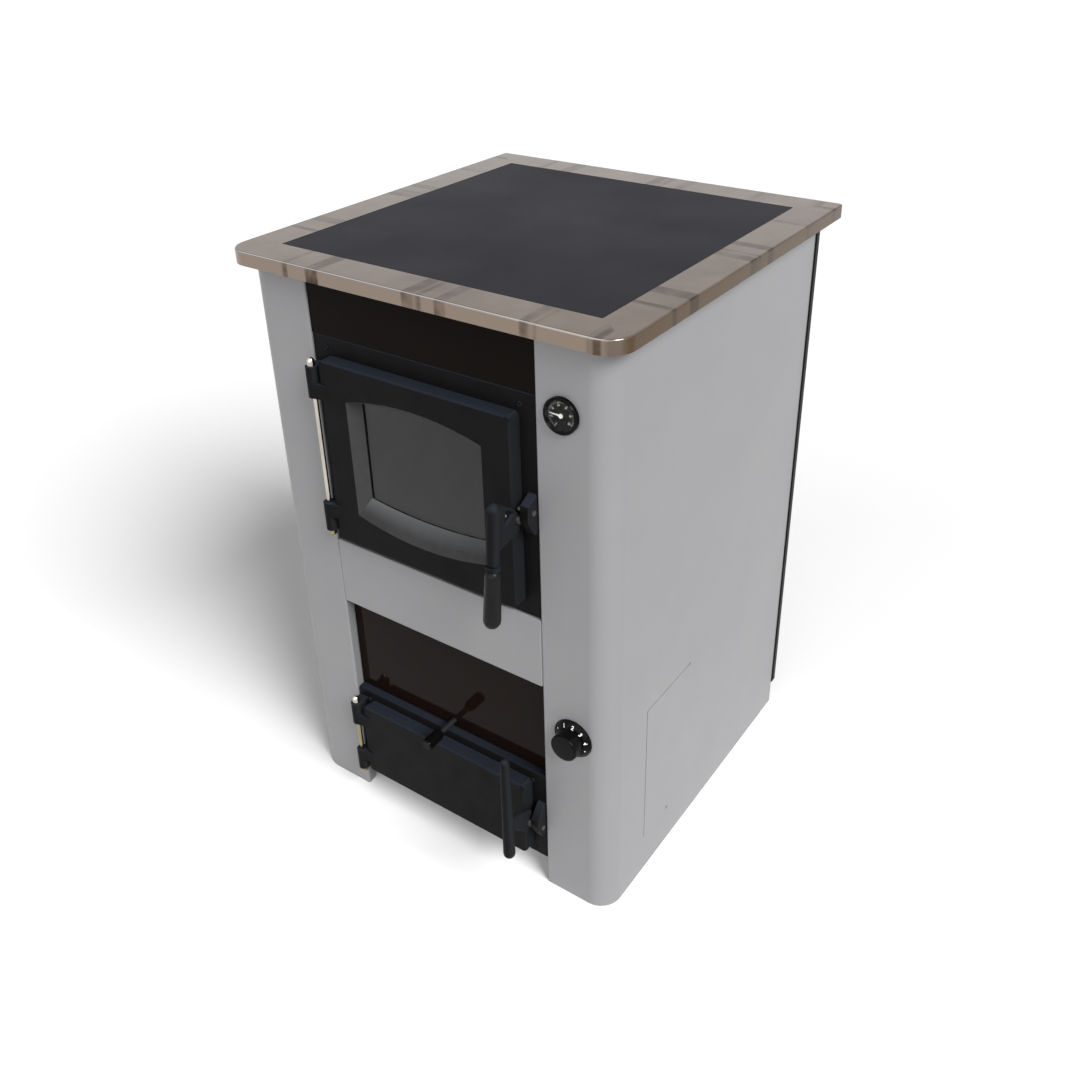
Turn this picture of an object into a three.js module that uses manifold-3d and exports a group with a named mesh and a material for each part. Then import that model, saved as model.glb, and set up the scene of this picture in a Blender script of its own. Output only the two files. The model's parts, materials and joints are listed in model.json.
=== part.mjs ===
// A wood-burning cookstove with a water jacket for central heating.
// Millimetres, z up. While the pieces are made, x = 0 is the middle of the stove, y = 0 the front edge
// of the hob frame, y grows towards the back, and z = 0 is the floor. The group is centred at the end.
import * as THREE from 'three';
import { mergeVertices } from 'three/addons/utils/BufferGeometryUtils.js';
import Module from 'manifold-3d';

const wasm = await Module();
wasm.setup();

// ------------------------------------------------------------------ driving dimensions
const overallHeight = 850;
const sheet = 2; // casing sheet
const rest = 0.3; // clearance of pieces that lie in or beside one another
const run = 0.3; // radial clearance of a turning pin
const over = 1; // how far a cutting tool stands past the face that it cuts

// Whatever belongs to the hob, the fire door or the flue keeps its distance from the top of the stove.
// Each pair is how far its low and its high edge lie below the cooking surface.
const below = {
  topStrip: [92.4, 12], upperFrame: [394.7, 93], middlePanel: [498.7, 395.3], feedOpening: [354, 142],
  upperDoor: [378, 118], upperHinge: [366.5, 129.5], sight: [328, 166], pane: [305, 170], plug: [350, 146],
  baffle: [210, 182], rearCover: 5, flue: 135, flow: 80, gauge: 106,
};
const band = ([low, high]) => ({ low: overallHeight - low, high: overallHeight - high });

const hob = { width: 574, depth: 583, skirt: 18.2, frontCorner: 32, rearCorner: 6, fold: 2.4 };
const plate = { width: 471, depth: 479, thickness: 8, setBack: 50.3, clearance: 0.8, edge: 0.8 };
const casing = { width: 540, front: 17.4, depth: 519.8, corner: 32, bend: 2.5 };
const flange = { rear: 28, top: 16 };
const hatch = { front: 110, back: 226, low: 62, high: 292, slit: 1.2, dot: 2, hole: 2.5, holeY: 175, holeZ: 63 };

const door = { width: 293.2, thickness: 19.1, edge: 2.2, back: 7, corner: 7.5, besideIt: 23.4 };
const bay = door.width / 2 + door.besideIt; // half the opening between the two columns

const cast = { wall: 8, edge: 1.6, sideGap: 0.5 }; // cast surrounds and doors
const upperFrame = { ...band(below.upperFrame), front: 20 };
const lowerFrame = { low: 43, high: 193.5, front: 20 };
const feedOpening = { ...band(below.feedOpening), width: 228, corner: 10 };
const ashOpening = { width: 220, low: 66, high: 168, corner: 4 };
const middlePanel = { ...band(below.middlePanel), edge: 1.5 };
const glossPlate = { front: 32, thickness: 2 };
const topStrip = { ...band(below.topStrip), front: 20 };
const rearCover = {
  width: 532, depth: 8.2, low: 36, high: overallHeight - below.rearCover, corner: 8, flueGap: 4, socketGap: 2,
};
const baseTray = { front: 58, back: 530, thickness: 3, flange: 27 };

const boiler = {
  besideBay: 58, front: 34, depth: 476, jacket: 36, outerPlate: 4, innerPlate: 5, endPlate: 10,
  jacketLow: 236, chuteHigh: 222, chuteLow: 172, chamberWidth: 224, sleeve: 6,
};
const foot = { side: 40, fromFront: 60, fromBack: 90 };
const grate = { length: 386, front: 64, thickness: 14, sideGap: 3, slot: 12, slotPitch: 30, bar: 16, travel: 14 };
const rail = { leg: 20, thickness: 4 };
const baffle = { ...band(below.baffle), front: 190, thickness: 6, ledge: 12 };
const pan = { width: 208, front: 62, length: 372, height: 72, wall: 1.5, corner: 6 };
const handle = { half: 45, bar: 8, reach: 22, thickness: 4 }; // bow on the front of the ash pan
const flue = {
  radius: 60, wall: 2, z: overallHeight - below.flue, inside: 478, end: 581, flangeRadius: 76, flangeThickness: 3,
};
const socket = { radius: 20, bore: 13.5, end: 562, fromSide: 78, flowZ: overallHeight - below.flow, returnZ: 280 };

const upperDoor = band(below.upperDoor);
const lowerDoor = { low: 55.5, high: 180.5 };
const sight = { ...band(below.sight), halfWidth: 105, arch: 15 };
const pane = { ...band(below.pane), halfWidth: 92, arch: 7 };
const plug = { ...band(below.plug), halfWidth: 108, back: 27, corner: 8 };
const glazing = { seat: 15.5, gasket: 1, glass: 4, retainer: 2, wall: 8, cover: 8, edgeGap: 0.5 };
const rope = { width: 10, depth: 4.2, inset: 17, proud: 0.15 };

const hinge = {
  besideDoor: 12.4, y: 2, pin: 3, collar: 8, wrap: 14, dome: 5.2, nut: 5.6, nutHeight: 9,
};
const upperHinge = { ...band(below.upperHinge), fixedLug: 21.7, doorLug: 19.7 };
const lowerHinge = { high: 180.6, low: 55.4, fixedLug: 19.4, doorLug: 16.5 };

// The latches turn about a screw in the door's edge. Their points are measured from it: back, then up.
const lever = {
  thickness: 5, sideGap: 0.9, eye: 7, screw: 3, head: 5, headHeight: 3.4, boss: 6.5, bossGap: 0.5, y: 3,
  screwIn: 11, screwFit: 0.1,
};
const upperHandle = {
  short: [-41, 40], joint: [-47.5, -42], end: [-55, -121],
  shortRadius: 9, radius: 8, gripRadius: 10.8, overlap: 0.2,
  front: [[-40, -25.6], [-41, 41.5], [-9.5, 19.2], [2, 6.8]], underNose: [[4, -13], [-0.6, -18]],
  window: [[-22.6, 22.7], [-25.2, 2.5], [-7.2, 11.1], [-9.6, 15.5]],
};
const lowerHandle = {
  short: [-44, -27], end: [-45, 148], radius: 8.4, tip: 6.4,
  front: [[-42, 43], [-42, 24], [-7, -13], [4, -7]], underNose: [[9, 6], [5.3, 17.8]], window: null,
};
const nose = { back: 16, tongue: 3, rise: 4.6, bar: 1, edge: 1.5, chamfer: 2, root: 3 };
const strike = {
  besideLever: 6.5, tuckedIn: 1.5, embed: 0.5, low: -23, high: 30, pinY: 8.5, pinZ: 9, pin: 3.5, fit: 0.1,
  upper: [[12.1, -21.4], [-0.1, 0.9], [1, 21.1], [15.9, 28.6]],
  lower: [[10.3, -25.3], [0.2, -3.9], [0.9, 10.9], [15.2, 27.7]],
};

const gauge = {
  besideBay: 36, z: overallHeight - below.gauge, bezel: 22.2, barrel: 18.7, window: 18.5, proud: 6.6, depth: 13,
  dial: 0.9, probe: 4.5, reach: 60,
};
const needle = { hub: 2.7, hubHeight: 1, thickness: 0.7, root: 1.1, tip: 0.3, tail: 5, reach: 14.4, angle: 162 };
const knob = {
  besideBay: 46, z: 291, dial: 28, dialDepth: 8, grip: 17.5, gripDepth: 23, draft: 0.8, spindle: 4, stem: 9, can: 19,
};
const sensor = { radius: 5.5, reach: 55, besideKnob: 4 };
const flap = {
  y: 96, width: 70, low: 80, height: 62, thickness: 2.5, pin: 2.5, port: 50, sill: 8, ear: 6, stand: 4.5,
};
const pull = { x: 4, z: 204, radius: 4, play: 1.5, knob: 8.5, knobFront: -29, knobLength: 30, lug: 10, soft: 2 };

// ------------------------------------------------------------------ places worked out from them
const mid = (a, b) => (a + b) / 2;
const top = overallHeight - sheet; // underside of the hob frame's sheet
const casingBack = casing.front + casing.depth;
const plateUnderside = overallHeight - plate.thickness;
const doorFront = upperFrame.front - rest - door.thickness;
const doorBack = upperFrame.front - rest;
const boilerBack = boiler.front + boiler.depth;
const boilerHalf = bay + boiler.besideBay;
const fireWidth = 2 * (boilerHalf - boiler.jacket);
const fireFront = boiler.front + boiler.outerPlate;
const fireBack = boilerBack - boiler.jacket;
const grateLow = boiler.chuteHigh + rail.thickness;
const waterLow = boiler.jacketLow + boiler.endPlate;
const waterHigh = plateUnderside - boiler.endPlate;
const hingeX = -(door.width / 2 + hinge.besideDoor);
const leverX = door.width / 2 + lever.sideGap + lever.thickness / 2;
const strikeX = leverX + strike.besideLever;
const gaugeX = bay + gauge.besideBay;
const knobX = bay + knob.besideBay;
const sensorX = knobX - sensor.besideKnob;
const socketX = boilerHalf - socket.fromSide;
const upperPivotZ = mid(upperDoor.low, upperDoor.high);
const lowerPivotZ = mid(lowerDoor.low, lowerDoor.high);

// ------------------------------------------------------------------ solids: make, join and cut
function solid(geometry) {
  const bare = geometry.clone();
  bare.deleteAttribute('normal');
  bare.deleteAttribute('uv');
  const merged = mergeVertices(bare, 1e-4);
  const vertProperties = Float32Array.from(merged.attributes.position.array);
  const triVerts = Uint32Array.from(merged.index.array);
  return new wasm.Manifold(new wasm.Mesh({ numProp: 3, vertProperties, triVerts }));
}

const join = (first, ...others) => others.reduce((whole, piece) => whole.add(piece), first);
const cut = (first, ...tools) => tools.reduce((whole, tool) => whole.subtract(tool), first);

function geometryOf(manifold) {
  const mesh = manifold.getMesh();
  const geometry = new THREE.BufferGeometry();
  geometry.setAttribute('position', new THREE.BufferAttribute(Float32Array.from(mesh.vertProperties), 3));
  geometry.setIndex(new THREE.BufferAttribute(Uint32Array.from(mesh.triVerts), 1));
  geometry.computeVertexNormals();
  return geometry;
}

function block(x0, x1, y0, y1, z0, z1) {
  const box = new THREE.BoxGeometry(x1 - x0, y1 - y0, z1 - z0);
  return solid(box.translate(mid(x0, x1), mid(y0, y1), mid(z0, z1)));
}

// A rectangle with corner radii in the order low-left, low-right, high-right, high-left.
function rectangle(x0, x1, y0, y1, radii = 0) {
  const [a, b, c, d] = Array.isArray(radii) ? radii : [radii, radii, radii, radii];
  const shape = new THREE.Shape();
  const corner = (x, y, r, start) => {
    if (r > 0) shape.absarc(x, y, r, start, start + Math.PI / 2, false);
    else shape.lineTo(x, y);
  };
  shape.moveTo(x0 + a, y0);
  corner(x1 - b, y0 + b, b, -Math.PI / 2);
  corner(x1 - c, y1 - c, c, 0);
  corner(x0 + d, y1 - d, d, Math.PI / 2);
  corner(x0 + a, y0 + a, a, Math.PI);
  return shape;
}

function polygon(points) {
  return new THREE.Shape(points.map(([u, v]) => new THREE.Vector2(u, v)));
}

function disc(u, v, radius) {
  const shape = new THREE.Shape();
  shape.absarc(u, v, radius, 0, Math.PI * 2, false);
  return shape;
}

function prism(shape, depth, bevel, curveSegments, bevelSegments) {
  if (!bevel) return new THREE.ExtrudeGeometry(shape, { depth, bevelEnabled: false, curveSegments });
  const options = { bevelEnabled: true, bevelThickness: bevel, bevelSize: bevel, bevelOffset: -bevel };
  const body = { depth: depth - 2 * bevel, bevelSegments, curveSegments };
  return new THREE.ExtrudeGeometry(shape, { ...options, ...body }).translate(0, 0, bevel);
}

// A shape drawn in x and y, standing from z0 to z1.
function upright(shape, z0, z1, bevel = 0, curve = 6, steps = 1) {
  return solid(prism(shape, z1 - z0, bevel, curve, steps).translate(0, 0, z0));
}

// A shape drawn in x and z, reaching from y0 to y1.
function facing(shape, y0, y1, bevel = 0, curve = 6, steps = 1) {
  return solid(prism(shape, y1 - y0, bevel, curve, steps).rotateX(Math.PI / 2).translate(0, y1, 0));
}

// A shape drawn in y and z, reaching from x0 to x1.
function sideways(shape, x0, x1, bevel = 0, curve = 6, steps = 1) {
  const turn = new THREE.Matrix4().makeBasis(
    new THREE.Vector3(0, 1, 0), new THREE.Vector3(0, 0, 1), new THREE.Vector3(1, 0, 0),
  );
  return solid(prism(shape, x1 - x0, bevel, curve, steps).applyMatrix4(turn).translate(x0, 0, 0));
}

// Like facing, with only its front edge softened.
function softFront(shape, y0, y1, bevel, curve = 3, steps = 1) {
  const long = facing(shape, y0, y1 + 2 * bevel, bevel, curve, steps);
  const reach = hob.width;
  return cut(long, block(-reach, reach, y1, y1 + 3 * bevel, -reach, overallHeight + reach));
}

function roundBar(axis, radius, from, to, u, v, segments = 20) {
  const bar = new THREE.CylinderGeometry(radius, radius, to - from, segments);
  if (axis === 'x') bar.rotateZ(Math.PI / 2).translate(mid(from, to), u, v);
  if (axis === 'y') bar.translate(u, mid(from, to), v);
  if (axis === 'z') bar.rotateX(Math.PI / 2).translate(u, v, mid(from, to));
  return solid(bar);
}

// A profile of [radius, y] pairs turned about a line along y through (x, z).
function turned(profile, x, z, segments = 28) {
  const points = profile.map(([r, y]) => new THREE.Vector2(r, y));
  return solid(new THREE.LatheGeometry(points, segments).translate(x, 0, z));
}

// A tapered bar with round ends between two points, given by their y and z, at one x.
function taperedBar(x, [y0, z0], [y1, z1], r0, r1, segments = 16, steps = 4) {
  const start = new THREE.Vector3(x, y0, z0);
  const along = new THREE.Vector3(x, y1, z1).sub(start);
  const length = along.length();
  const points = [];
  for (let i = 0; i <= steps; i += 1) {
    const a = (i / steps) * (Math.PI / 2);
    points.push(new THREE.Vector2(r0 * Math.sin(a), r0 - r0 * Math.cos(a)));
  }
  for (let i = steps; i >= 0; i -= 1) {
    const a = (i / steps) * (Math.PI / 2);
    points.push(new THREE.Vector2(r1 * Math.sin(a), length - r1 + r1 * Math.cos(a)));
  }
  const bar = new THREE.LatheGeometry(points, segments);
  const turn = new THREE.Quaternion().setFromUnitVectors(new THREE.Vector3(0, 1, 0), along.normalize());
  return solid(bar.applyQuaternion(turn).translate(start.x, start.y, start.z));
}

// Mirror image about the middle of the stove.
function mirrored(manifold) {
  const geometry = geometryOf(manifold);
  const position = geometry.attributes.position;
  for (let i = 0; i < position.count; i += 1) position.setX(i, -position.getX(i));
  const index = geometry.index;
  for (let i = 0; i < index.count; i += 3) {
    const keep = index.getX(i);
    index.setX(i, index.getX(i + 1));
    index.setX(i + 1, keep);
  }
  return solid(geometry);
}

// A sheet bent at right angles: the outline of the strip whose outer side follows the points.
function bentStrip(points, radii, thickness) {
  const shape = new THREE.Shape();
  const step = (a, b) => [Math.sign(b[0] - a[0]), Math.sign(b[1] - a[1])];
  const last = points.length - 1;
  const inward = ([dx, dy]) => [-dy, dx];
  const firstStep = step(points[0], points[1]);
  const lastStep = step(points[last - 1], points[last]);
  shape.moveTo(...points[0]);
  for (let i = 1; i < last; i += 1) {
    const [ax, ay] = step(points[i - 1], points[i]);
    const [bx, by] = step(points[i], points[i + 1]);
    const r = radii[i - 1];
    const [cx, cy] = [points[i][0] - ax * r + bx * r, points[i][1] - ay * r + by * r];
    shape.absarc(cx, cy, r, Math.atan2(-by, -bx), Math.atan2(ay, ax), false);
  }
  shape.lineTo(...points[last]);
  const inLast = inward(lastStep);
  shape.lineTo(points[last][0] + inLast[0] * thickness, points[last][1] + inLast[1] * thickness);
  for (let i = last - 1; i >= 1; i -= 1) {
    const [ax, ay] = step(points[i - 1], points[i]);
    const [bx, by] = step(points[i], points[i + 1]);
    const r = radii[i - 1];
    const [cx, cy] = [points[i][0] - ax * r + bx * r, points[i][1] - ay * r + by * r];
    shape.absarc(cx, cy, r - thickness, Math.atan2(ay, ax), Math.atan2(-by, -bx), true);
  }
  const inFirst = inward(firstStep);
  shape.lineTo(points[0][0] + inFirst[0] * thickness, points[0][1] + inFirst[1] * thickness);
  return shape;
}

// A solid between two outlines in x and z that hold as many points, at two depths.
function lofted(outlineA, yA, outlineB, yB) {
  const count = outlineA.length;
  const positions = [];
  for (const [x, z] of outlineA) positions.push(x, yA, z);
  for (const [x, z] of outlineB) positions.push(x, yB, z);
  const index = [];
  for (let i = 0; i < count; i += 1) {
    const j = (i + 1) % count;
    index.push(i, j, count + j, i, count + j, count + i);
  }
  const ends = THREE.ShapeUtils.triangulateShape(outlineA.map(([u, v]) => new THREE.Vector2(u, v)), []);
  for (const [a, b, c] of ends) index.push(c, b, a, count + a, count + b, count + c);
  for (let i = 0; i < index.length; i += 3) [index[i], index[i + 1]] = [index[i + 1], index[i]];
  const geometry = new THREE.BufferGeometry();
  geometry.setAttribute('position', new THREE.Float32BufferAttribute(positions, 3));
  geometry.setIndex(index);
  return solid(geometry);
}

// ------------------------------------------------------------------ finishes
const finishes = {
  greyPaint: { color: 0xa9aaab, roughness: 0.45, metalness: 0.1 },
  polishedSteel: { color: 0xb8b0a6, roughness: 0.18, metalness: 1 },
  hobSteel: { color: 0x3c3f45, roughness: 0.6, metalness: 0.6 },
  castBlack: { color: 0x222327, roughness: 0.55, metalness: 0.3 },
  glossBlack: { color: 0x1c1614, roughness: 0.15, metalness: 0.2 },
  chrome: { color: 0xe2e2e2, roughness: 0.1, metalness: 1 },
  gilt: { color: 0xc8a24a, roughness: 0.25, metalness: 1 },
  rawSteel: { color: 0x6e6a66, roughness: 0.5, metalness: 0.8 },
  castIron: { color: 0x3a3836, roughness: 0.75, metalness: 0.4 },
  rope: { color: 0x8a8780, roughness: 0.95, metalness: 0 },
  glass: { color: 0x3e3e40, roughness: 0.05, metalness: 0 },
  blackPlastic: { color: 0x101010, roughness: 0.35, metalness: 0 },
  dialWhite: { color: 0xe8e8e4, roughness: 0.5, metalness: 0 },
};

const stove = new THREE.Group();

function add(name, manifold, finish) {
  const mesh = new THREE.Mesh(geometryOf(manifold), new THREE.MeshStandardMaterial(finishes[finish]));
  mesh.name = name;
  stove.add(mesh);
}

// ------------------------------------------------------------------ hob
function hobFrame() {
  const low = overallHeight - hob.skirt;
  const corners = [hob.frontCorner, hob.frontCorner, hob.rearCorner, hob.rearCorner];
  const outline = rectangle(-hob.width / 2, hob.width / 2, 0, hob.depth, corners);
  const shell = upright(outline, low - 2 * hob.fold, overallHeight, hob.fold, 7, 3);
  const inner = rectangle(
    sheet - hob.width / 2, hob.width / 2 - sheet, sheet, hob.depth - sheet, corners.map((r) => r - sheet),
  );
  const pocket = upright(inner, low - 3 * hob.fold, top, 0, 7);
  const below = block(-hob.width, hob.width, -hob.depth, 2 * hob.depth, low - 3 * hob.fold, low);
  const halfX = plate.width / 2 + plate.clearance;
  const y0 = plate.setBack - plate.clearance;
  const y1 = plate.setBack + plate.depth + plate.clearance;
  const lipLow = plateUnderside + rest;
  const lip = block(-halfX - sheet, halfX + sheet, y0 - sheet, y1 + sheet, lipLow, top + sheet / 2);
  const opening = block(-halfX, halfX, y0, y1, lipLow - hob.skirt, overallHeight + sheet);
  return cut(join(cut(shell, pocket, below), lip), opening);
}

function cookPlate() {
  const outline = rectangle(-plate.width / 2, plate.width / 2, plate.setBack, plate.setBack + plate.depth);
  return upright(outline, plateUnderside, overallHeight, plate.edge);
}

// ------------------------------------------------------------------ casing
// One side: the rounded front column with its return into the bay, the flat side and the folds behind it.
function sidePanel() {
  const x = casing.width / 2;
  const route = [
    [bay, boiler.front], [bay, casing.front], [x, casing.front], [x, casingBack], [x - flange.rear, casingBack],
  ];
  const bends = [casing.bend, casing.corner, casing.bend];
  const wrap = upright(bentStrip(route, bends, sheet), 0, top, 0, 8);
  const y0 = casing.front + 1.5 * casing.corner;
  const y1 = casingBack - 2 * flange.rear;
  const shelf = block(x - flange.top, x - sheet / 2, y0, y1, top - sheet, top);
  return join(wrap, shelf);
}

function rightSidePanel() {
  const x0 = casing.width / 2 - 2 * sheet;
  const x1 = casing.width / 2 + sheet;
  const y0 = casing.front - sheet;
  const y1 = casing.front + 2 * sheet;
  const { front, back, low, high, slit, dot, hole, holeY, holeZ } = hatch;
  return cut(
    sidePanel(),
    roundBar('y', gauge.barrel + rest, y0, y1, gaugeX, gauge.z, 32),
    roundBar('y', knob.spindle + 2 * run, y0, y1, knobX, knob.z, 20),
    block(x0, x1, front, front + slit, low, high),
    block(x0, x1, front, back, high - slit, high),
    roundBar('x', dot, x0, x1, back, high - slit / 2, 12),
    roundBar('x', hole, x0, x1, holeY, holeZ, 16),
  );
}

function middleFrontPanel() {
  const half = bay - rest;
  const { low, high, edge } = middlePanel;
  const outer = softFront(rectangle(-half, half, low, high, 2 * edge), casing.front, boiler.front, edge, 3, 2);
  const inner = block(
    sheet - half, half - sheet, casing.front + sheet, boiler.front + sheet, low + sheet, high - sheet,
  );
  return cut(outer, inner);
}

function upperFrontStrip() {
  const half = bay - rest;
  const { low, high, front } = topStrip;
  const outer = block(-half, half, front, boiler.front, low, high);
  const reach = half + sheet;
  return cut(outer, block(-reach, reach, front + sheet, boiler.front + sheet, low + sheet, high - sheet));
}

function lowerFrontPlate() {
  const half = bay - rest;
  const { front, thickness } = glossPlate;
  const panel = block(-half, half, front, front + thickness, lowerFrame.low, middlePanel.low - rest);
  const port = block(
    -ashOpening.width / 2, ashOpening.width / 2, front - sheet, front + 2 * sheet, ashOpening.low, ashOpening.high,
  );
  const bore = roundBar('y', pull.radius + pull.play, front - sheet, front + 2 * sheet, pull.x, pull.z, 20);
  return cut(panel, port, bore);
}

function rearCoverPanel() {
  const half = rearCover.width / 2;
  const { low, high, depth, corner } = rearCover;
  const outline = rectangle(-half, half, low, high, corner);
  const shell = facing(outline, casingBack, casingBack + depth, 0, 6);
  const inner = rectangle(sheet - half, half - sheet, low + sheet, high - sheet, corner - sheet);
  const y1 = casingBack + depth + sheet;
  return cut(
    shell,
    facing(inner, casingBack - sheet, casingBack + depth - sheet, 0, 6),
    roundBar('y', flue.radius + rearCover.flueGap, casingBack, y1, 0, flue.z, 32),
    roundBar('y', socket.radius + rearCover.socketGap, casingBack, y1, socketX, socket.flowZ, 24),
    roundBar('y', socket.radius + rearCover.socketGap, casingBack, y1, -socketX, socket.returnZ, 24),
  );
}

function baseTrayPanel() {
  const half = casing.width / 2 - sheet - rest;
  const { front, back, thickness } = baseTray;
  const outer = block(-half, half, front, back, 0, thickness + baseTray.flange);
  const inside = block(
    sheet - half, half - sheet, front + sheet, back - sheet, thickness, thickness + 2 * baseTray.flange,
  );
  return cut(outer, inside);
}

// ------------------------------------------------------------------ boiler
// A front plate as wide as the boiler, with one opening and the bores that pass through it.
function frontPlate(low, high, opening, bores) {
  const y0 = boiler.front - over;
  const y1 = fireFront + over;
  const half = opening.width / 2;
  return cut(
    block(-boilerHalf, boilerHalf, boiler.front, fireFront, low, high),
    block(-half, half, y0, y1, opening.low, opening.high),
    ...bores.map(([radius, x, z]) => roundBar('y', radius, y0, y1, x, z, 16)),
  );
}

// The upper plate closes the water jacket and carries the upper surround.
function boilerFront() {
  const probeBore = [gauge.probe + rest, gaugeX, gauge.z];
  const sensorBore = [sensor.radius + rest, sensorX, knob.z];
  return frontPlate(boiler.jacketLow, plateUnderside, feedOpening, [probeBore, sensorBore]);
}

// The lower plate closes the ash hopper and carries the lower surround.
function ashFront() {
  const rodBore = [pull.radius + pull.play, pull.x, pull.z];
  return frontPlate(lowerFrame.low, boiler.jacketLow, ashOpening, [rodBore]);
}

// A wall round both sides and the back, open at the front: its outer face is half wide and ends at back.
function wrap(half, back, thickness, low, high) {
  const outer = block(-half, half, fireFront, back, low, high);
  const inner = half - thickness;
  return cut(outer, block(-inner, inner, fireFront - over, back - thickness, low - over, high + over));
}

function flueHole(y0, y1) {
  return roundBar('y', flue.radius + rest, y0 - over, y1 + over, 0, flue.z, 32);
}

function boilerBody() {
  const wall = wrap(boilerHalf, boilerBack, boiler.outerPlate, boiler.jacketLow, plateUnderside);
  const y0 = boilerBack - boiler.outerPlate;
  return cut(
    wall,
    flueHole(y0, boilerBack),
    roundBar('y', socket.bore, y0 - over, boilerBack + over, socketX, socket.flowZ, 20),
    roundBar('y', socket.bore, y0 - over, boilerBack + over, -socketX, socket.returnZ, 20),
  );
}

// The firebox wall, with the two ledges that the baffle slides in on.
function fireboxLiner() {
  const { innerPlate } = boiler;
  const half = fireWidth / 2;
  const wall = wrap(half + innerPlate, fireBack + innerPlate, innerPlate, waterLow, waterHigh);
  const ledges = [-1, 1].map((side) => {
    const [x0, x1] = [side * (half + 1), side * (half - baffle.ledge)].sort((a, b) => a - b);
    return baffleSlab(x0, x1, -baffle.thickness);
  });
  return join(cut(wall, flueHole(fireBack, fireBack + innerPlate)), ...ledges);
}

// The plate that closes the jacket at its low or its high end, round three sides of the firebox.
function jacketEnd(low) {
  const inside = boilerHalf - boiler.outerPlate;
  return wrap(inside, boilerBack - boiler.outerPlate, inside - fireWidth / 2, low, low + boiler.endPlate);
}

// The short tube that takes the smoke across the water.
function flueSleeve() {
  const y0 = fireBack + boiler.innerPlate;
  const y1 = boilerBack - boiler.outerPlate;
  const bore = flue.radius + rest;
  const outer = flue.radius + boiler.sleeve;
  return turned([[bore, y0], [outer, y0], [outer, y1], [bore, y1], [bore, y0]], 0, flue.z, 32);
}

// The outline across the ash hopper: the chute under the grate and the chamber that the pan stands in.
function hopperOutline(offset, high) {
  const neck = boiler.chamberWidth / 2 + offset;
  const chute = fireWidth / 2 + offset;
  const low = ashOpening.low - offset;
  const right = [[neck, low], [neck, boiler.chuteLow - offset], [chute, boiler.chuteHigh - offset], [chute, high]];
  const left = right.map(([x, z]) => [-x, z]).reverse();
  return polygon([...right, ...left]);
}

function ashHopper() {
  const { outerPlate, chamberWidth } = boiler;
  const wallX = chamberWidth / 2;
  const shell = facing(hopperOutline(outerPlate, boiler.jacketLow), fireFront, fireBack + outerPlate);
  const space = facing(hopperOutline(0, boiler.jacketLow + over), fireFront - over, fireBack);
  const feet = [];
  for (const side of [-1, 1]) {
    for (const y of [boiler.front + foot.fromFront, boilerBack - foot.fromBack]) {
      const [x0, x1] = [side * (wallX - foot.side), side * wallX].sort((a, b) => a - b);
      feet.push(block(x0, x1, y, y + foot.side, baseTray.thickness, ashOpening.low - outerPlate / 2));
    }
  }
  const pinZ = flap.low + flap.height + flap.pin;
  const pinBore = roundBar('y', flap.pin + run, 0, fireBack, wallX + outerPlate + flap.stand, pinZ, 12);
  const ears = [flap.y - flap.ear - rest, flap.y + flap.width + rest].map((y) => {
    const x1 = wallX + outerPlate + 2 * flap.stand;
    return cut(block(wallX + 1, x1, y, y + flap.ear, pinZ - flap.ear, pinZ + flap.ear), pinBore);
  });
  const portY = flap.y + (flap.width - flap.port) / 2;
  const portLow = flap.low + flap.sill;
  const portHigh = flap.low + flap.height - flap.ear;
  const port = block(wallX - over, wallX + outerPlate + over, portY, portY + flap.port, portLow, portHigh);
  return join(cut(join(shell, ...feet), space, port), ...ears);
}

// A slab that climbs towards the front between the firebox walls, shifted up by lift.
function baffleSlab(x0, x1, lift) {
  const { front, thickness } = baffle;
  const back = fireBack - rest;
  const low = baffle.low + lift;
  const high = baffle.high + lift;
  const profile = [[back, low], [front, high], [front, high + thickness], [back, low + thickness]];
  return sideways(polygon(profile), x0, x1);
}

function smokeBaffle() {
  return baffleSlab(rest - fireWidth / 2, fireWidth / 2 - rest, rest);
}

function grateRail() {
  const x = fireWidth / 2;
  const { leg, thickness } = rail;
  const y0 = fireFront;
  const y1 = fireBack;
  const shelf = block(x - leg, x, y0, y1, grateLow - thickness, grateLow);
  const upstand = block(x - thickness / 2, x, y0, y1, grateLow - thickness, grateLow + 3 * thickness);
  return join(shelf, upstand);
}

function fireGrate() {
  const half = fireWidth / 2 - grate.sideGap - rail.thickness / 2;
  const { front, length, thickness, slot, slotPitch, bar } = grate;
  const body = block(-half, half, front, front + length, grateLow, grateLow + thickness);
  const slots = [];
  const rowLength = (length - 3 * bar) / 2;
  const count = Math.floor((half - bar) / slotPitch);
  for (let i = -count; i <= count; i += 1) {
    for (const row of [0, 1]) {
      const y0 = front + bar + row * (rowLength + bar);
      const x0 = i * slotPitch - slot / 2;
      const end = slot / 2;
      const outline = polygon([
        [x0 + end, y0], [x0 + slot, y0 + end], [x0 + slot, y0 + rowLength - end], [x0 + end, y0 + rowLength],
        [x0, y0 + rowLength - end], [x0, y0 + end],
      ]);
      slots.push(upright(outline, grateLow - over, grateLow + thickness + over));
    }
  }
  const lugTop = grateLow + thickness / 2;
  const lug = block(
    pull.x - 1.5 * pull.radius, pull.x + 1.5 * pull.radius, front, front + pull.lug,
    pull.z - 2 * pull.radius, lugTop,
  );
  return join(cut(body, ...slots), lug);
}

function grateRod() {
  return roundBar('y', pull.radius, pull.knobFront + pull.knobLength / 2, grate.front, pull.x, pull.z, 16);
}

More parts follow.
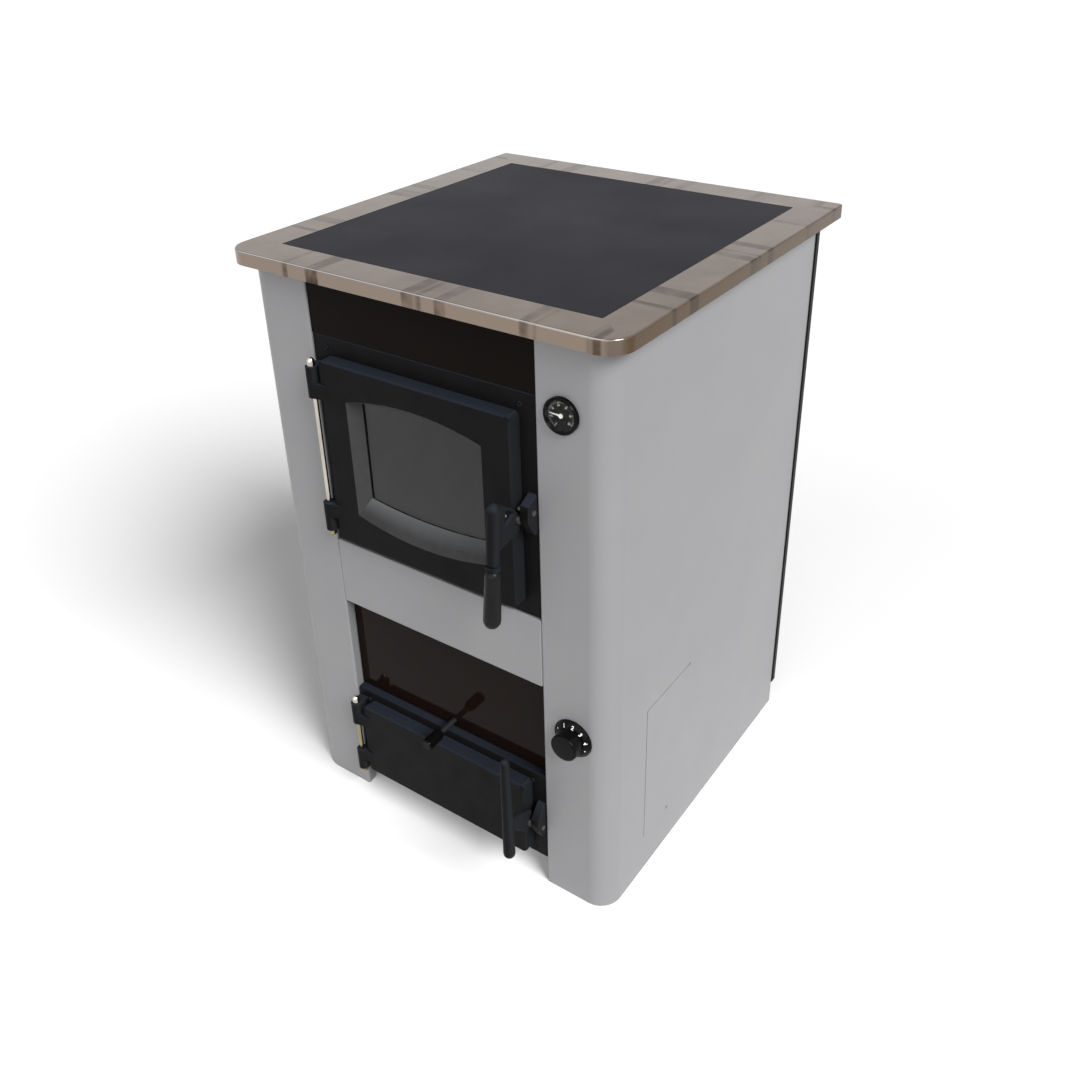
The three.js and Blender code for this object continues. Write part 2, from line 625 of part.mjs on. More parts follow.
function grateKnob() {
  const r = pull.knob;
  const y0 = pull.knobFront;
  const y1 = y0 + pull.knobLength;
  const { soft } = pull;
  const bore = pull.radius + rest;
  const profile = [
    [0, y0], [r - soft, y0], [r, y0 + soft], [r, y1 - 3 * soft], [r - soft, y1], [bore, y1],
    [bore, y0 + pull.knobLength / 2 - rest], [0, y0 + pull.knobLength / 2 - rest],
  ];
  return turned(profile, pull.x, pull.z, 18);
}

function ashPan() {
  const half = pan.width / 2;
  const y1 = pan.front + pan.length;
  const low = ashOpening.low;
  const outer = upright(rectangle(-half, half, pan.front, y1, pan.corner), low, low + pan.height);
  const w = pan.wall;
  const inner = upright(
    rectangle(w - half, half - w, pan.front + w, y1 - w, pan.corner - w), low + w, low + 2 * pan.height,
  );
  return cut(outer, inner);
}

function ashPanHandle() {
  const { half, bar, reach, thickness } = handle;
  const low = ashOpening.low + pan.height / 2;
  const y0 = pan.front - reach;
  const bow = rectangle(-half, half, y0, pan.front, [bar, bar, 0, 0]);
  const hand = rectangle(bar - half, half - bar, y0 + bar, pan.front + over, [bar / 2, bar / 2, 0, 0]);
  return cut(upright(bow, low, low + thickness), upright(hand, low - over, low + thickness + over));
}

function flueSpigot() {
  const { radius, wall, inside, end, z, flangeRadius, flangeThickness } = flue;
  const f = boilerBack;
  const profile = [
    [radius - wall, inside], [radius, inside], [radius, f], [flangeRadius, f],
    [flangeRadius, f + flangeThickness], [radius, f + flangeThickness], [radius, end], [radius - wall, end],
    [radius - wall, inside],
  ];
  return turned(profile, 0, z, 32);
}

function pipeSocket(x, z) {
  const { radius, bore, end } = socket;
  const profile = [[bore, boilerBack], [radius, boilerBack], [radius, end], [bore, end], [bore, boilerBack]];
  return turned(profile, x, z, 24);
}

// ------------------------------------------------------------------ cast surrounds
// A collar round the hinge pin on an arm that reaches back to the surround.
function fixedKnuckle(z0, z1, yBack) {
  const { y, collar } = hinge;
  const arm = block(hingeX - collar, hingeX + collar, y, yBack, z0, z1);
  return join(roundBar('z', collar, z0, z1, hingeX, y, 24), arm);
}

// The door's collar, on an arm that wraps round the edge and tapers out on the front face.
function doorKnuckle(z0, z1) {
  const { y, collar, wrap: reach } = hinge;
  const edge = -door.width / 2;
  const arm = polygon([
    [hingeX, y - collar], [edge + reach, doorFront], [edge + reach, doorFront + door.edge],
    [edge + reach / 2, y + collar], [hingeX, y + collar],
  ]);
  return join(roundBar('z', collar, z0, z1, hingeX, y, 24), upright(arm, z0, z1));
}

function hingeBore(z0, z1) {
  return roundBar('z', hinge.pin + run, z0, z1, hingeX, hinge.y, 16);
}

// The cast block beside the lever, whose front points are given from the pivot's height.
function strikeBlock(frame, pivotZ, points) {
  const { low, high, embed, tuckedIn } = strike;
  const back = frame.front + cast.edge + embed;
  const profile = [[back, low], ...points, [back, high]];
  return sideways(polygon(profile.map(([y, z]) => [y, z + pivotZ])), strikeX, bay - tuckedIn);
}

function strikeBore(pivotZ, up) {
  const { pin, fit, pinY, pinZ } = strike;
  return roundBar('x', pin + fit, strikeX - over, bay, lever.y + pinY, pivotZ + up * pinZ, 16);
}

function surround(frame, opening, hinges, pivotZ, up, strikePoints) {
  const half = bay - cast.sideGap;
  const lugHeight = hinges.fixedLug;
  const skirtBack = frame === upperFrame ? boiler.front : glossPlate.front;
  const outline = rectangle(-half, half, frame.low, frame.high, 2);
  const face = softFront(outline, frame.front, skirtBack, cast.edge, 3);
  const w = cast.wall;
  const hollow = block(w - half, half - w, frame.front + w, skirtBack + w, frame.low + w, frame.high - w);
  const halfOpen = opening.width / 2;
  const neck = rectangle(-halfOpen - w / 2, halfOpen + w / 2, opening.low - w / 2, opening.high + w / 2, opening.corner);
  const neckSolid = facing(neck, frame.front + w / 2, skirtBack);
  const port = rectangle(-halfOpen, halfOpen, opening.low, opening.high, opening.corner);
  const portSolid = facing(port, frame.front - w, skirtBack + w);
  const arms = [
    fixedKnuckle(hinges.high - lugHeight, hinges.high, frame.front + w / 2),
    fixedKnuckle(hinges.low, hinges.low + lugHeight, frame.front + w / 2),
  ];
  const body = cut(join(cut(face, hollow), neckSolid), portSolid);
  return cut(
    join(body, ...arms, strikeBlock(frame, pivotZ, strikePoints)),
    hingeBore(hinges.low - over, hinges.low + lugHeight + over),
    hingeBore(hinges.high - lugHeight - over, hinges.high + over),
    strikeBore(pivotZ, up),
  );
}

function strikePin(pivotZ, up) {
  const y = lever.y + strike.pinY;
  const z = pivotZ + up * strike.pinZ;
  return roundBar('x', strike.pin, leverX - lever.thickness / 2, bay - rest, y, z, 16);
}

// ------------------------------------------------------------------ hinge pins and nuts
function hingePin(hinges) {
  const thread = hinge.nutHeight / 2;
  return roundBar('z', hinge.pin, hinges.low - thread, hinges.high + thread, hingeX, hinge.y, 16);
}

// A nut on the end of the pin: hexagonal, or a round cap with a domed end. up is +1 on the top end.
function hingeNut(z, up, round) {
  const { pin, nut, nutHeight, dome, y } = hinge;
  const x = hingeX;
  const r = round ? dome : nut;
  const height = round ? nutHeight + dome / 2 : nutHeight;
  const profile = [[0, 0], [r, 0]];
  if (round) {
    const shoulder = nutHeight / 2;
    for (let i = 0; i < 5; i += 1) {
      const a = (i / 5) * (Math.PI / 2);
      profile.push([r * Math.cos(a), shoulder + (height - shoulder) * Math.sin(a)]);
    }
  } else {
    profile.push([r, height - 2], [r - 2, height]);
  }
  profile.push([0, height]);
  const lathe = new THREE.LatheGeometry(profile.map(([a, b]) => new THREE.Vector2(a, b)), round ? 20 : 6);
  lathe.rotateX(up > 0 ? Math.PI / 2 : -Math.PI / 2);
  const depth = nutHeight / 2 + rest;
  const bore = roundBar('z', pin + 0.1, up > 0 ? z - 1 : z - depth, up > 0 ? z + depth : z + 1, x, y, 16);
  return cut(solid(lathe.translate(x, y, z)), bore);
}

// ------------------------------------------------------------------ doors
function sightOutline(halfWidth, low, high, arch, steps = 10) {
  const points = [];
  const radius = (halfWidth ** 2 + arch ** 2) / (2 * arch);
  const sag = (x) => Math.sqrt(radius ** 2 - x ** 2) - (radius - arch);
  for (let i = 0; i <= steps; i += 1) {
    const x = halfWidth * ((2 * i) / steps - 1);
    points.push([x, low - sag(x)]);
  }
  for (let i = steps; i >= 0; i -= 1) {
    const x = halfWidth * ((2 * i) / steps - 1);
    points.push([x, high + sag(x)]);
  }
  return points;
}

function doorSlab(size) {
  const half = door.width / 2;
  const outline = rectangle(-half, half, size.low, size.high, door.corner);
  return softFront(outline, doorFront, doorBack, door.edge, 5);
}

function doorBoss(pivotZ) {
  const outer = door.width / 2 + lever.sideGap - lever.bossGap;
  return roundBar('x', lever.boss, door.width / 2 - lever.boss, outer, lever.y, pivotZ, 20);
}

function screwBore(pivotZ) {
  const x0 = door.width / 2 - lever.screwIn - over;
  return roundBar('x', lever.screw + lever.screwFit, x0, leverX + lever.thickness, lever.y, pivotZ, 16);
}

function doorLugs({ high, low, fixedLug, doorLug }) {
  const highZ = high - fixedLug - rest;
  const lowZ = low + fixedLug + rest;
  return [doorKnuckle(highZ - doorLug, highZ), doorKnuckle(lowZ, lowZ + doorLug)];
}

function ropeRing(halfX, low, high, y0, y1, grow) {
  const w = rope.width / 2 + grow;
  const outer = rectangle(-halfX - w, halfX + w, low - w, high + w, 12 + w);
  outer.holes.push(rectangle(w - halfX, halfX - w, low + w, high - w, 12 - w));
  return facing(outer, y0, y1, grow ? 0 : 1.2, 3);
}

function ropeSeal(size, grow = 0) {
  const halfX = door.width / 2 - rope.inset - rope.width / 2;
  const inset = rope.inset / 1.5 + rope.width / 2;
  const y0 = doorBack - rope.depth + (grow ? 0 : rest);
  const y1 = doorBack + (grow ? 1 : rope.proud);
  return ropeRing(halfX, size.low + inset, size.high - inset, y0, y1, grow);
}

function upperDoorCasting() {
  const { halfWidth, low, high, arch } = sight;
  const outline = rectangle(-plug.halfWidth, plug.halfWidth, plug.low, plug.high, plug.corner);
  const body = join(
    doorSlab(upperDoor),
    facing(outline, doorBack - 1, plug.back),
    doorBoss(upperPivotZ),
    ...doorLugs(upperHinge),
  );
  const slope = (halfWidth - pane.halfWidth) / (glazing.seat - doorFront);
  const frontOutline = sightOutline(halfWidth + slope * over, low - over, high + over, arch);
  const paneOutline = sightOutline(pane.halfWidth, pane.low, pane.high, pane.arch);
  return cut(
    body,
    lofted(frontOutline, doorFront - over, paneOutline, glazing.seat),
    lofted(paneOutline, glazing.seat - over / 2, paneOutline, glazing.seat + over),
    facing(pocketOutline(0), glazing.seat, plug.back + over),
    ropeSeal(upperDoor, rest),
    screwBore(upperPivotZ),
    hingeBore(upperHinge.low, upperHinge.high),
  );
}

function lowerDoorCasting() {
  const body = join(
    doorSlab(lowerDoor),
    doorBoss(lowerPivotZ),
    ...doorLugs(lowerHinge),
  );
  const half = ashOpening.width / 2 - 6;
  const inner = rectangle(-half, half, ashOpening.low + 10, ashOpening.high - 6, 6);
  return cut(
    body,
    facing(inner, doorBack - door.back, doorBack + 1),
    ropeSeal(lowerDoor, rest),
    screwBore(lowerPivotZ),
    hingeBore(lowerHinge.low, lowerHinge.high),
  );
}

// The pocket behind the reveal that holds the glass, drawn in by inset on every side.
function pocketOutline(inset) {
  const { halfWidth, low, high, corner } = plug;
  const by = glazing.wall + inset;
  return rectangle(by - halfWidth, halfWidth - by, low + by, high - by, corner - inset / 4);
}

function glazingRing(y0, y1) {
  const ring = pocketOutline(glazing.edgeGap);
  ring.holes.push(pocketOutline(glazing.cover));
  return facing(ring, y0, y1, 0, 3);
}

function glassGasket() {
  return glazingRing(glazing.seat, glazing.seat + glazing.gasket);
}

function doorGlass() {
  const y0 = glazing.seat + glazing.gasket;
  return facing(pocketOutline(2 * glazing.edgeGap), y0, y0 + glazing.glass, 0, 3);
}

function glassRetainer() {
  const y0 = glazing.seat + glazing.gasket + glazing.glass;
  return glazingRing(y0, y0 + glazing.retainer);
}

// ------------------------------------------------------------------ latches
// The flat part of a lever: the web from the handle to the eye, and the nose whose tongue stands behind
// the strike pin. up is -1 on the lever that is hung the other way up.
function leverWeb(pivotZ, up, { front, underNose, window }) {
  const { thickness, eye, y } = lever;
  const { back, tongue, rise, bar, edge, chamfer, root } = nose;
  const outline = [
    ...front, [back - tongue - root, up * bar], [back - tongue, up * bar], [back - tongue, up * rise],
    [back, up * rise], [back, -up * edge], [back - tongue, -up * (edge + chamfer)], ...underNose,
  ];
  const shape = polygon(outline.map((point) => placed(point, pivotZ)));
  if (window) shape.holes.push(new THREE.Path(window.map((point) => new THREE.Vector2(...placed(point, pivotZ)))));
  const x0 = leverX - thickness / 2;
  return join(sideways(shape, x0, x0 + thickness), roundBar('x', eye, x0, x0 + thickness, y, pivotZ, 24));
}

function placed([v, w], pivotZ) {
  return [lever.y + v, pivotZ + w];
}

// A point on the line through a and b: at 0 it is a, at 1 it is b.
const between = (a, b, t) => [a[0] + (b[0] - a[0]) * t, a[1] + (b[1] - a[1]) * t];

// The rod inside the grip, thickened by gap for the bore that goes over it.
function gripCore(start, finish, gap) {
  const { joint, end, radius } = upperHandle;
  const r = radius * 0.6 + gap;
  const from = placed(between(joint, end, start), upperPivotZ);
  return taperedBar(leverX, from, placed(between(joint, end, finish), upperPivotZ), r, r, 12);
}

function upperLever() {
  const { short, joint, shortRadius, radius, overlap } = upperHandle;
  const web = leverWeb(upperPivotZ, 1, upperHandle);
  const shaft = taperedBar(leverX, placed(short, upperPivotZ), placed(joint, upperPivotZ), shortRadius, radius);
  return cut(join(web, shaft, gripCore(-overlap, 1 - overlap, 0)), screwBore(upperPivotZ));
}

function upperGrip() {
  const { short, joint, end, shortRadius, radius, gripRadius, overlap } = upperHandle;
  const from = placed(joint, upperPivotZ);
  const sleeve = taperedBar(leverX, from, placed(end, upperPivotZ), gripRadius - over, gripRadius, 20, 5);
  const shaftRoom = taperedBar(leverX, placed(short, upperPivotZ), from, shortRadius + rest, radius + rest);
  return cut(sleeve, gripCore(-2 * overlap, 1 - 0.9 * overlap, rest), shaftRoom);
}

function lowerLever() {
  const { short, end, radius, tip } = lowerHandle;
  const web = leverWeb(lowerPivotZ, -1, lowerHandle);
  const shaft = taperedBar(leverX, placed(short, lowerPivotZ), placed(end, lowerPivotZ), radius, tip);
  return cut(join(web, shaft), screwBore(lowerPivotZ));
}

function pivotScrew(pivotZ) {
  const x1 = leverX + lever.thickness / 2 + lever.screwFit;
  const shank = roundBar('x', lever.screw, door.width / 2 - lever.screwIn, x1 + over, lever.y, pivotZ, 16);
  return join(shank, roundBar('x', lever.head, x1, x1 + lever.headHeight, lever.y, pivotZ, 20));
}

// ------------------------------------------------------------------ thermometer
function gaugeCase() {
  const { z, bezel, barrel, window, proud, depth } = gauge;
  const y0 = casing.front - proud;
  const seat = casing.front;
  const floor = y0 + proud * 0.8;
  const back = casing.front + depth;
  const profile = [
    [0, floor], [window, floor], [window, y0 + 1], [window + 0.8, y0], [bezel - 1.2, y0], [bezel, y0 + 1.6],
    [bezel, seat], [barrel, seat], [barrel, back], [0, back],
  ];
  return turned(profile, gaugeX, z, 32);
}

function gaugeDial() {
  const y1 = casing.front - gauge.proud * 0.2 - rest / 3;
  return roundBar('y', gauge.window - rest, y1 - gauge.dial, y1, gaugeX, gauge.z, 32);
}

function gaugeNeedle() {
  const { hub, hubHeight, thickness, root, tip, tail, reach, angle } = needle;
  const y1 = casing.front - gauge.proud * 0.2 - gauge.dial - rest - 0.1;
  const turn = THREE.MathUtils.degToRad(angle);
  const [c, d] = [Math.cos(turn), Math.sin(turn)];
  const at = (along, aside) => [gaugeX + c * along - d * aside, gauge.z + d * along + c * aside];
  const pointer = polygon([at(-tail, -root), at(reach, -tip), at(reach, tip), at(-tail, root)]);
  return join(facing(pointer, y1 - thickness, y1), roundBar('y', hub, y1 - hubHeight, y1, gaugeX, gauge.z, 16));
}

function gaugeGlass() {
  const y0 = casing.front - gauge.proud + 0.8;
  return roundBar('y', gauge.window - rest, y0, y0 + 1.2, gaugeX, gauge.z, 32);
}

function gaugeProbe() {
  const y0 = casing.front + gauge.depth;
  return roundBar('y', gauge.probe, y0, boiler.front + gauge.reach, gaugeX, gauge.z, 16);
}

// ------------------------------------------------------------------ draught regulator and air flap
function regulatorCan() {
  const y0 = casing.front + sheet;
  const can = roundBar('y', knob.can, y0, boiler.front - rest, knobX, knob.z, 28);
  const stem = roundBar('y', sensor.radius, boiler.front - 1, boiler.front + sensor.reach, sensorX, knob.z, 16);
  const bore = roundBar('y', knob.spindle + run, y0 - over, y0 + knob.stem + over, knobX, knob.z, 16);
  return cut(join(can, stem), bore);
}

function regulatorDial() {
  const { dial, dialDepth, spindle } = knob;
  const y1 = casing.front - rest;
  const y0 = y1 - dialDepth;
  const bore = spindle + 0.1;
  const profile = [
    [bore, y0], [dial * 0.7, y0], [dial - 3, y0 + dialDepth * 0.35], [dial, y1 - 1.5], [dial, y1], [bore, y1],
    [bore, y0],
  ];
  return turned(profile, knobX, knob.z, 32);
}

// Smooth and slightly conical, with a rounded front edge, on a spindle that goes into the regulator.
function regulatorGrip() {
  const { grip, gripDepth, draft, spindle, dialDepth, stem } = knob;
  const end = casing.front + sheet + stem;
  const y1 = casing.front - rest - dialDepth;
  const y0 = y1 - gripDepth;
  const soft = 3;
  const profile = [[0, y0 + soft / 4], [grip * 0.6, y0]];
  for (let i = 0; i <= 3; i += 1) {
    const a = (i / 3) * (Math.PI / 2);
    profile.push([grip - draft - soft + soft * Math.sin(a), y0 + soft - soft * Math.cos(a)]);
  }
  profile.push([grip + draft, y1], [spindle, y1], [spindle, end], [0, end]);
  return turned(profile, knobX, knob.z, 32);
}

function airFlap() {
  const wall = boiler.chamberWidth / 2 + boiler.outerPlate;
  const { y, width, low, height, thickness, pin, ear, stand } = flap;
  const blade = block(wall + rest, wall + rest + thickness, y, y + width, low, low + height + pin);
  const knuckle = roundBar('y', pin + 1.2, y, y + width, wall + stand, low + height + pin, 16);
  const shaft = roundBar('y', pin, y - ear, y + width + ear, wall + stand, low + height + pin, 12);
  return join(blade, knuckle, shaft);
}

// ------------------------------------------------------------------ assembly
add('hob_frame', hobFrame(), 'polishedSteel');
add('cook_plate', cookPlate(), 'hobSteel');
add('right_side_panel', rightSidePanel(), 'greyPaint');
add('left_side_panel', mirrored(sidePanel()), 'greyPaint');
add('middle_front_panel', middleFrontPanel(), 'greyPaint');
add('upper_front_strip', upperFrontStrip(), 'glossBlack');
add('lower_front_plate', lowerFrontPlate(), 'glossBlack');
add('rear_cover', rearCoverPanel(), 'castBlack');
add('base_tray', baseTrayPanel(), 'rawSteel');

add('boiler_front', boilerFront(), 'rawSteel');
add('ash_front_plate', ashFront(), 'rawSteel');
add('boiler_body', boilerBody(), 'rawSteel');
add('firebox_liner', fireboxLiner(), 'rawSteel');
add('jacket_floor', jacketEnd(boiler.jacketLow), 'rawSteel');
add('jacket_roof', jacketEnd(waterHigh), 'rawSteel');
add('flue_sleeve', flueSleeve(), 'rawSteel');
add('ash_hopper', ashHopper(), 'rawSteel');
add('right_grate_rail', grateRail(), 'rawSteel');
add('left_grate_rail', mirrored(grateRail()), 'rawSteel');
add('fire_grate', fireGrate(), 'castIron');
add('grate_rod', grateRod(), 'rawSteel');
add('grate_knob', grateKnob(), 'castBlack');
add('smoke_baffle', smokeBaffle(), 'rawSteel');
add('ash_pan', ashPan(), 'rawSteel');
add('ash_pan_handle', ashPanHandle(), 'rawSteel');
add('flue_spigot', flueSpigot(), 'castBlack');
add('flow_socket', pipeSocket(socketX, socket.flowZ), 'rawSteel');
add('return_socket', pipeSocket(-socketX, socket.returnZ), 'rawSteel');

const upperSurround = surround(upperFrame, feedOpening, upperHinge, upperPivotZ, 1, strike.upper);
const lowerSurround = surround(lowerFrame, ashOpening, lowerHinge, lowerPivotZ, -1, strike.lower);
add('upper_surround', upperSurround, 'castBlack');
add('lower_surround', lowerSurround, 'castBlack');
add('upper_strike_pin', strikePin(upperPivotZ, 1), 'rawSteel');
add('lower_strike_pin', strikePin(lowerPivotZ, -1), 'rawSteel');
for (const [side, hinges] of [['upper', upperHinge], ['lower', lowerHinge]]) {
  add(`${side}_hinge_pin`, hingePin(hinges), 'chrome');
  add(`${side}_hinge_cap`, hingeNut(hinges.high, 1, true), 'chrome');
  add(`${side}_hinge_nut`, hingeNut(hinges.low, -1, false), 'gilt');
}

add('upper_door', upperDoorCasting(), 'castBlack');
add('glass_gasket', glassGasket(), 'rope');
add('door_glass', doorGlass(), 'glass');
add('glass_retainer', glassRetainer(), 'rawSteel');
add('upper_door_rope', ropeSeal(upperDoor), 'rope');
add('upper_latch_screw', pivotScrew(upperPivotZ), 'chrome');
add('upper_latch_lever', upperLever(), 'castBlack');
add('upper_latch_grip', upperGrip(), 'blackPlastic');

add('lower_door', lowerDoorCasting(), 'castBlack');
add('lower_door_rope', ropeSeal(lowerDoor), 'rope');
add('lower_latch_screw', pivotScrew(lowerPivotZ), 'chrome');
add('lower_latch_lever', lowerLever(), 'castBlack');

add('thermometer_case', gaugeCase(), 'blackPlastic');
add('thermometer_dial', gaugeDial(), 'blackPlastic');
add('thermometer_needle', gaugeNeedle(), 'dialWhite');
add('thermometer_glass', gaugeGlass(), 'glass');
add('thermometer_probe', gaugeProbe(), 'rawSteel');
add('regulator_body', regulatorCan(), 'rawSteel');
add('regulator_dial', regulatorDial(), 'blackPlastic');
add('regulator_grip', regulatorGrip(), 'blackPlastic');
add('air_flap', airFlap(), 'rawSteel');

// The origin is on the floor in the middle of the whole stove.
const bounds = new THREE.Box3().setFromObject(stove);
stove.position.set(-mid(bounds.min.x, bounds.max.x), -mid(bounds.min.y, bounds.max.y), 0);

export default stove;
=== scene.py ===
# %% [markdown]
# # A wood-burning cookstove, dressed
# The stove is a grey painted casing round a welded boiler, with two black castings in front, a steel
# cooking plate in a polished frame on top, and a thermometer and a draught regulator on the right column.
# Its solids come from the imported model. This script gives them smooth shading, soft edges where they are
# cast, and a finish each, and adds the small things that a solid can't show: screws, dial numbers, the
# plait of a rope, the mottle of old steel.

# %% The frame of solids
import json
import math

import bmesh
import bpy
from mathutils import Euler, Matrix, Vector

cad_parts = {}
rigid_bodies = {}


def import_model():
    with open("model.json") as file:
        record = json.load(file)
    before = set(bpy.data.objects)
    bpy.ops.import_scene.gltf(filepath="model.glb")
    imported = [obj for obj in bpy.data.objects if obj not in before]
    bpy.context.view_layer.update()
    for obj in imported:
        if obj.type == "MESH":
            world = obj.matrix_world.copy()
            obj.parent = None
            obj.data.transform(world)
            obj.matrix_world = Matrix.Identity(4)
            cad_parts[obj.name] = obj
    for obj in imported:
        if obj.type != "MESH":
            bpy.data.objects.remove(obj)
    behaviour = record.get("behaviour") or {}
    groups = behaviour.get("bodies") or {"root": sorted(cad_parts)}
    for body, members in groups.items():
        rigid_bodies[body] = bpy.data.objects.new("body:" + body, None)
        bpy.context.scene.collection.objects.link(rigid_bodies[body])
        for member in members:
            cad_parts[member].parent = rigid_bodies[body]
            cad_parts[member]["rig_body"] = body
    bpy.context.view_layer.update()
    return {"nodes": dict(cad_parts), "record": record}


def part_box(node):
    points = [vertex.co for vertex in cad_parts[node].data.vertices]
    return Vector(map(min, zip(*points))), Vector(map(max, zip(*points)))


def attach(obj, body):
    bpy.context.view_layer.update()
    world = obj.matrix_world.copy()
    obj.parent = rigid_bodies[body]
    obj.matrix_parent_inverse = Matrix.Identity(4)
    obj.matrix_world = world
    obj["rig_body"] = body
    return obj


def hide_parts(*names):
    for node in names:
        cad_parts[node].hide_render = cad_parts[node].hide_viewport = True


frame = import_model()
nodes = frame["nodes"]
MM = 0.001
hob_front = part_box("hob_frame")[0].y
slot_of = {part["node"]: part["material_slot"] for part in frame["record"]["subparts"]}


def place(x, y, z):
    """A point given in millimetres: y from the hob's front edge, z from the floor, x from the middle."""
    return Vector((x * MM, hob_front + y * MM, z * MM))


# %% [markdown]
# ## The camera
# A camera is a place, a direction and a lens. These were found by fitting the stove's straight edges to
# the photograph, so the picture can be compared with it line by line. The small shift says that the
# photograph was cropped a little off its middle.

# %% The camera
camera_data = bpy.data.cameras.new("camera")
camera_data.sensor_width = 36
camera_data.lens = 36.52
camera_data.shift_x = -0.0227
camera_data.shift_y = -0.0761
camera = bpy.data.objects.new("camera", camera_data)
camera.location = place(801.9, -848.7, 1266.9)
camera.rotation_euler = Euler([math.radians(a) for a in (61.314, 0.685, 34.058)])
bpy.context.scene.collection.objects.link(camera)
bpy.context.scene.camera = camera
bpy.context.scene.view_settings.view_transform = "Standard"
print("camera at", [round(v, 3) for v in camera.location])

# %% [markdown]
# ## Studio light
# The shadow in the photograph falls to the left and is very soft, so the key light is a wide one from the
# right. A weaker and still wider one comes low from the front, because the front columns are nearly as
# bright as the side. Both are sun lamps, which light near and far floor alike, and a large angle makes
# them as soft as a big window.

# %% Lamps
def lamp(name, toward, strength, spread):
    """A sun lamp that shines from the direction toward; spread is its width in degrees."""
    data = bpy.data.lights.new(name, "SUN")
    data.energy = strength
    data.angle = math.radians(spread)
    made = bpy.data.objects.new(name, data)
    made.rotation_euler = Vector(toward).to_track_quat("Z", "Y").to_euler()
    bpy.context.scene.collection.objects.link(made)


lamp("key_lamp", (1.0, -0.3, 0.92), 4.05, 30)
lamp("fill_lamp", (0.1, -1.0, 0.24), 1.95, 85)

# %% [markdown]
# ## Small moves in a node tree
# A look is a tree of nodes. Every tree below is built from the same two moves: an input gets a number or
# another node's output, and a Math node works out one value from others.

# %% Inputs and sums
def feed(tree, socket, value):
    """Gives an input its value: the output of another node is linked, a plain value is set."""
    if isinstance(value, bpy.types.NodeSocket):
        tree.links.new(value, socket)
    else:
        socket.default_value = value


def calculate(tree, operation, *values):
    """The result of a Math node; the values are outputs of other nodes or plain numbers."""
    node = tree.nodes.new("ShaderNodeMath")
    node.operation = operation
    for socket, value in zip(node.inputs, values):
        feed(tree, socket, value)
    return node.outputs[0]


print("two helpers for node trees")

# %% [markdown]
# ## The background
# The world gives the rest of the light evenly. What the camera sees directly, and what glass and metal
# mirror, is plain white: the Light Path node tells those rays apart from the rays that only light the
# object.

# %% World
AMBIENT = 0.07
WHITE = (1, 1, 1, 1)


def seen_directly(tree):
    """The highest of the camera, glossy and transmission rays: 1 where a ray looks at the background."""
    path = tree.nodes.new("ShaderNodeLightPath").outputs
    seen = calculate(tree, "MAXIMUM", path["Is Camera Ray"], path["Is Glossy Ray"])
    return calculate(tree, "MAXIMUM", seen, path["Is Transmission Ray"])


def white_background(tree, strength):
    node = tree.nodes.new("ShaderNodeBackground")
    node.inputs["Color"].default_value = WHITE
    node.inputs["Strength"].default_value = strength
    return node.outputs[0]


world = bpy.data.worlds.new("studio")
bpy.context.scene.world = world
world.use_nodes = True
sky = world.node_tree
sky.nodes.clear()
choose = sky.nodes.new("ShaderNodeMixShader")
world_out = sky.nodes.new("ShaderNodeOutputWorld")
sky.links.new(seen_directly(sky), choose.inputs["Fac"])
sky.links.new(white_background(sky, AMBIENT), choose.inputs[1])
sky.links.new(white_background(sky, 1.0), choose.inputs[2])
sky.links.new(choose.outputs[0], world_out.inputs["Surface"])
print("even light", AMBIENT)

# %% [markdown]
# The floor is a plain pale plane. It is a real surface, so the stove keeps its shadow, and a share of
# white for the rays that see it directly lets the floor run out into the white background without a seam.

# %% The floor
FLOOR_HALF = 12  # metres
FLOOR_TONE = 0.95
WHITE_SHARE = 0.06


def shader_of(material):
    return material.node_tree.nodes["Principled BSDF"]


def object_from(bm, name, material):
    """An object with that material, made from a bmesh, which is used up."""
    mesh = bpy.data.meshes.new(name)
    bm.to_mesh(mesh)
    bm.free()
    mesh.materials.append(material)
    made = bpy.data.objects.new(name, mesh)
    bpy.context.scene.collection.objects.link(made)
    return made


pale = bpy.data.materials.new("pale_floor")
pale.use_nodes = True
tree = pale.node_tree
shader = shader_of(pale)
shader.inputs["Base Color"].default_value = (FLOOR_TONE, FLOOR_TONE, FLOOR_TONE, 1)
shader.inputs["Roughness"].default_value = 0.9
shader.inputs["Specular IOR Level"].default_value = 0
glow = tree.nodes.new("ShaderNodeEmission")
glow.inputs["Color"].default_value = WHITE
blend = tree.nodes.new("ShaderNodeMixShader")
tree.links.new(calculate(tree, "MULTIPLY", seen_directly(tree), WHITE_SHARE), blend.inputs["Fac"])
tree.links.new(shader.outputs[0], blend.inputs[1])
tree.links.new(glow.outputs[0], blend.inputs[2])
tree.links.new(blend.outputs[0], tree.nodes["Material Output"].inputs["Surface"])
bm = bmesh.new()
bmesh.ops.create_grid(bm, x_segments=1, y_segments=1, size=FLOOR_HALF)
floor = object_from(bm, "floor", pale)
print("floor", floor.dimensions[0], "m wide")

# %% [markdown]
# ## Effects that several finishes share
# A node group is a small machine with named inputs and outputs, built once and used with other numbers in
# each material. These groups read Object coordinates, which here are metres in the stove's own frame, so a
# scale of 1000 makes features about a millimetre wide on every piece. They put out only masks, colours and
# heights.

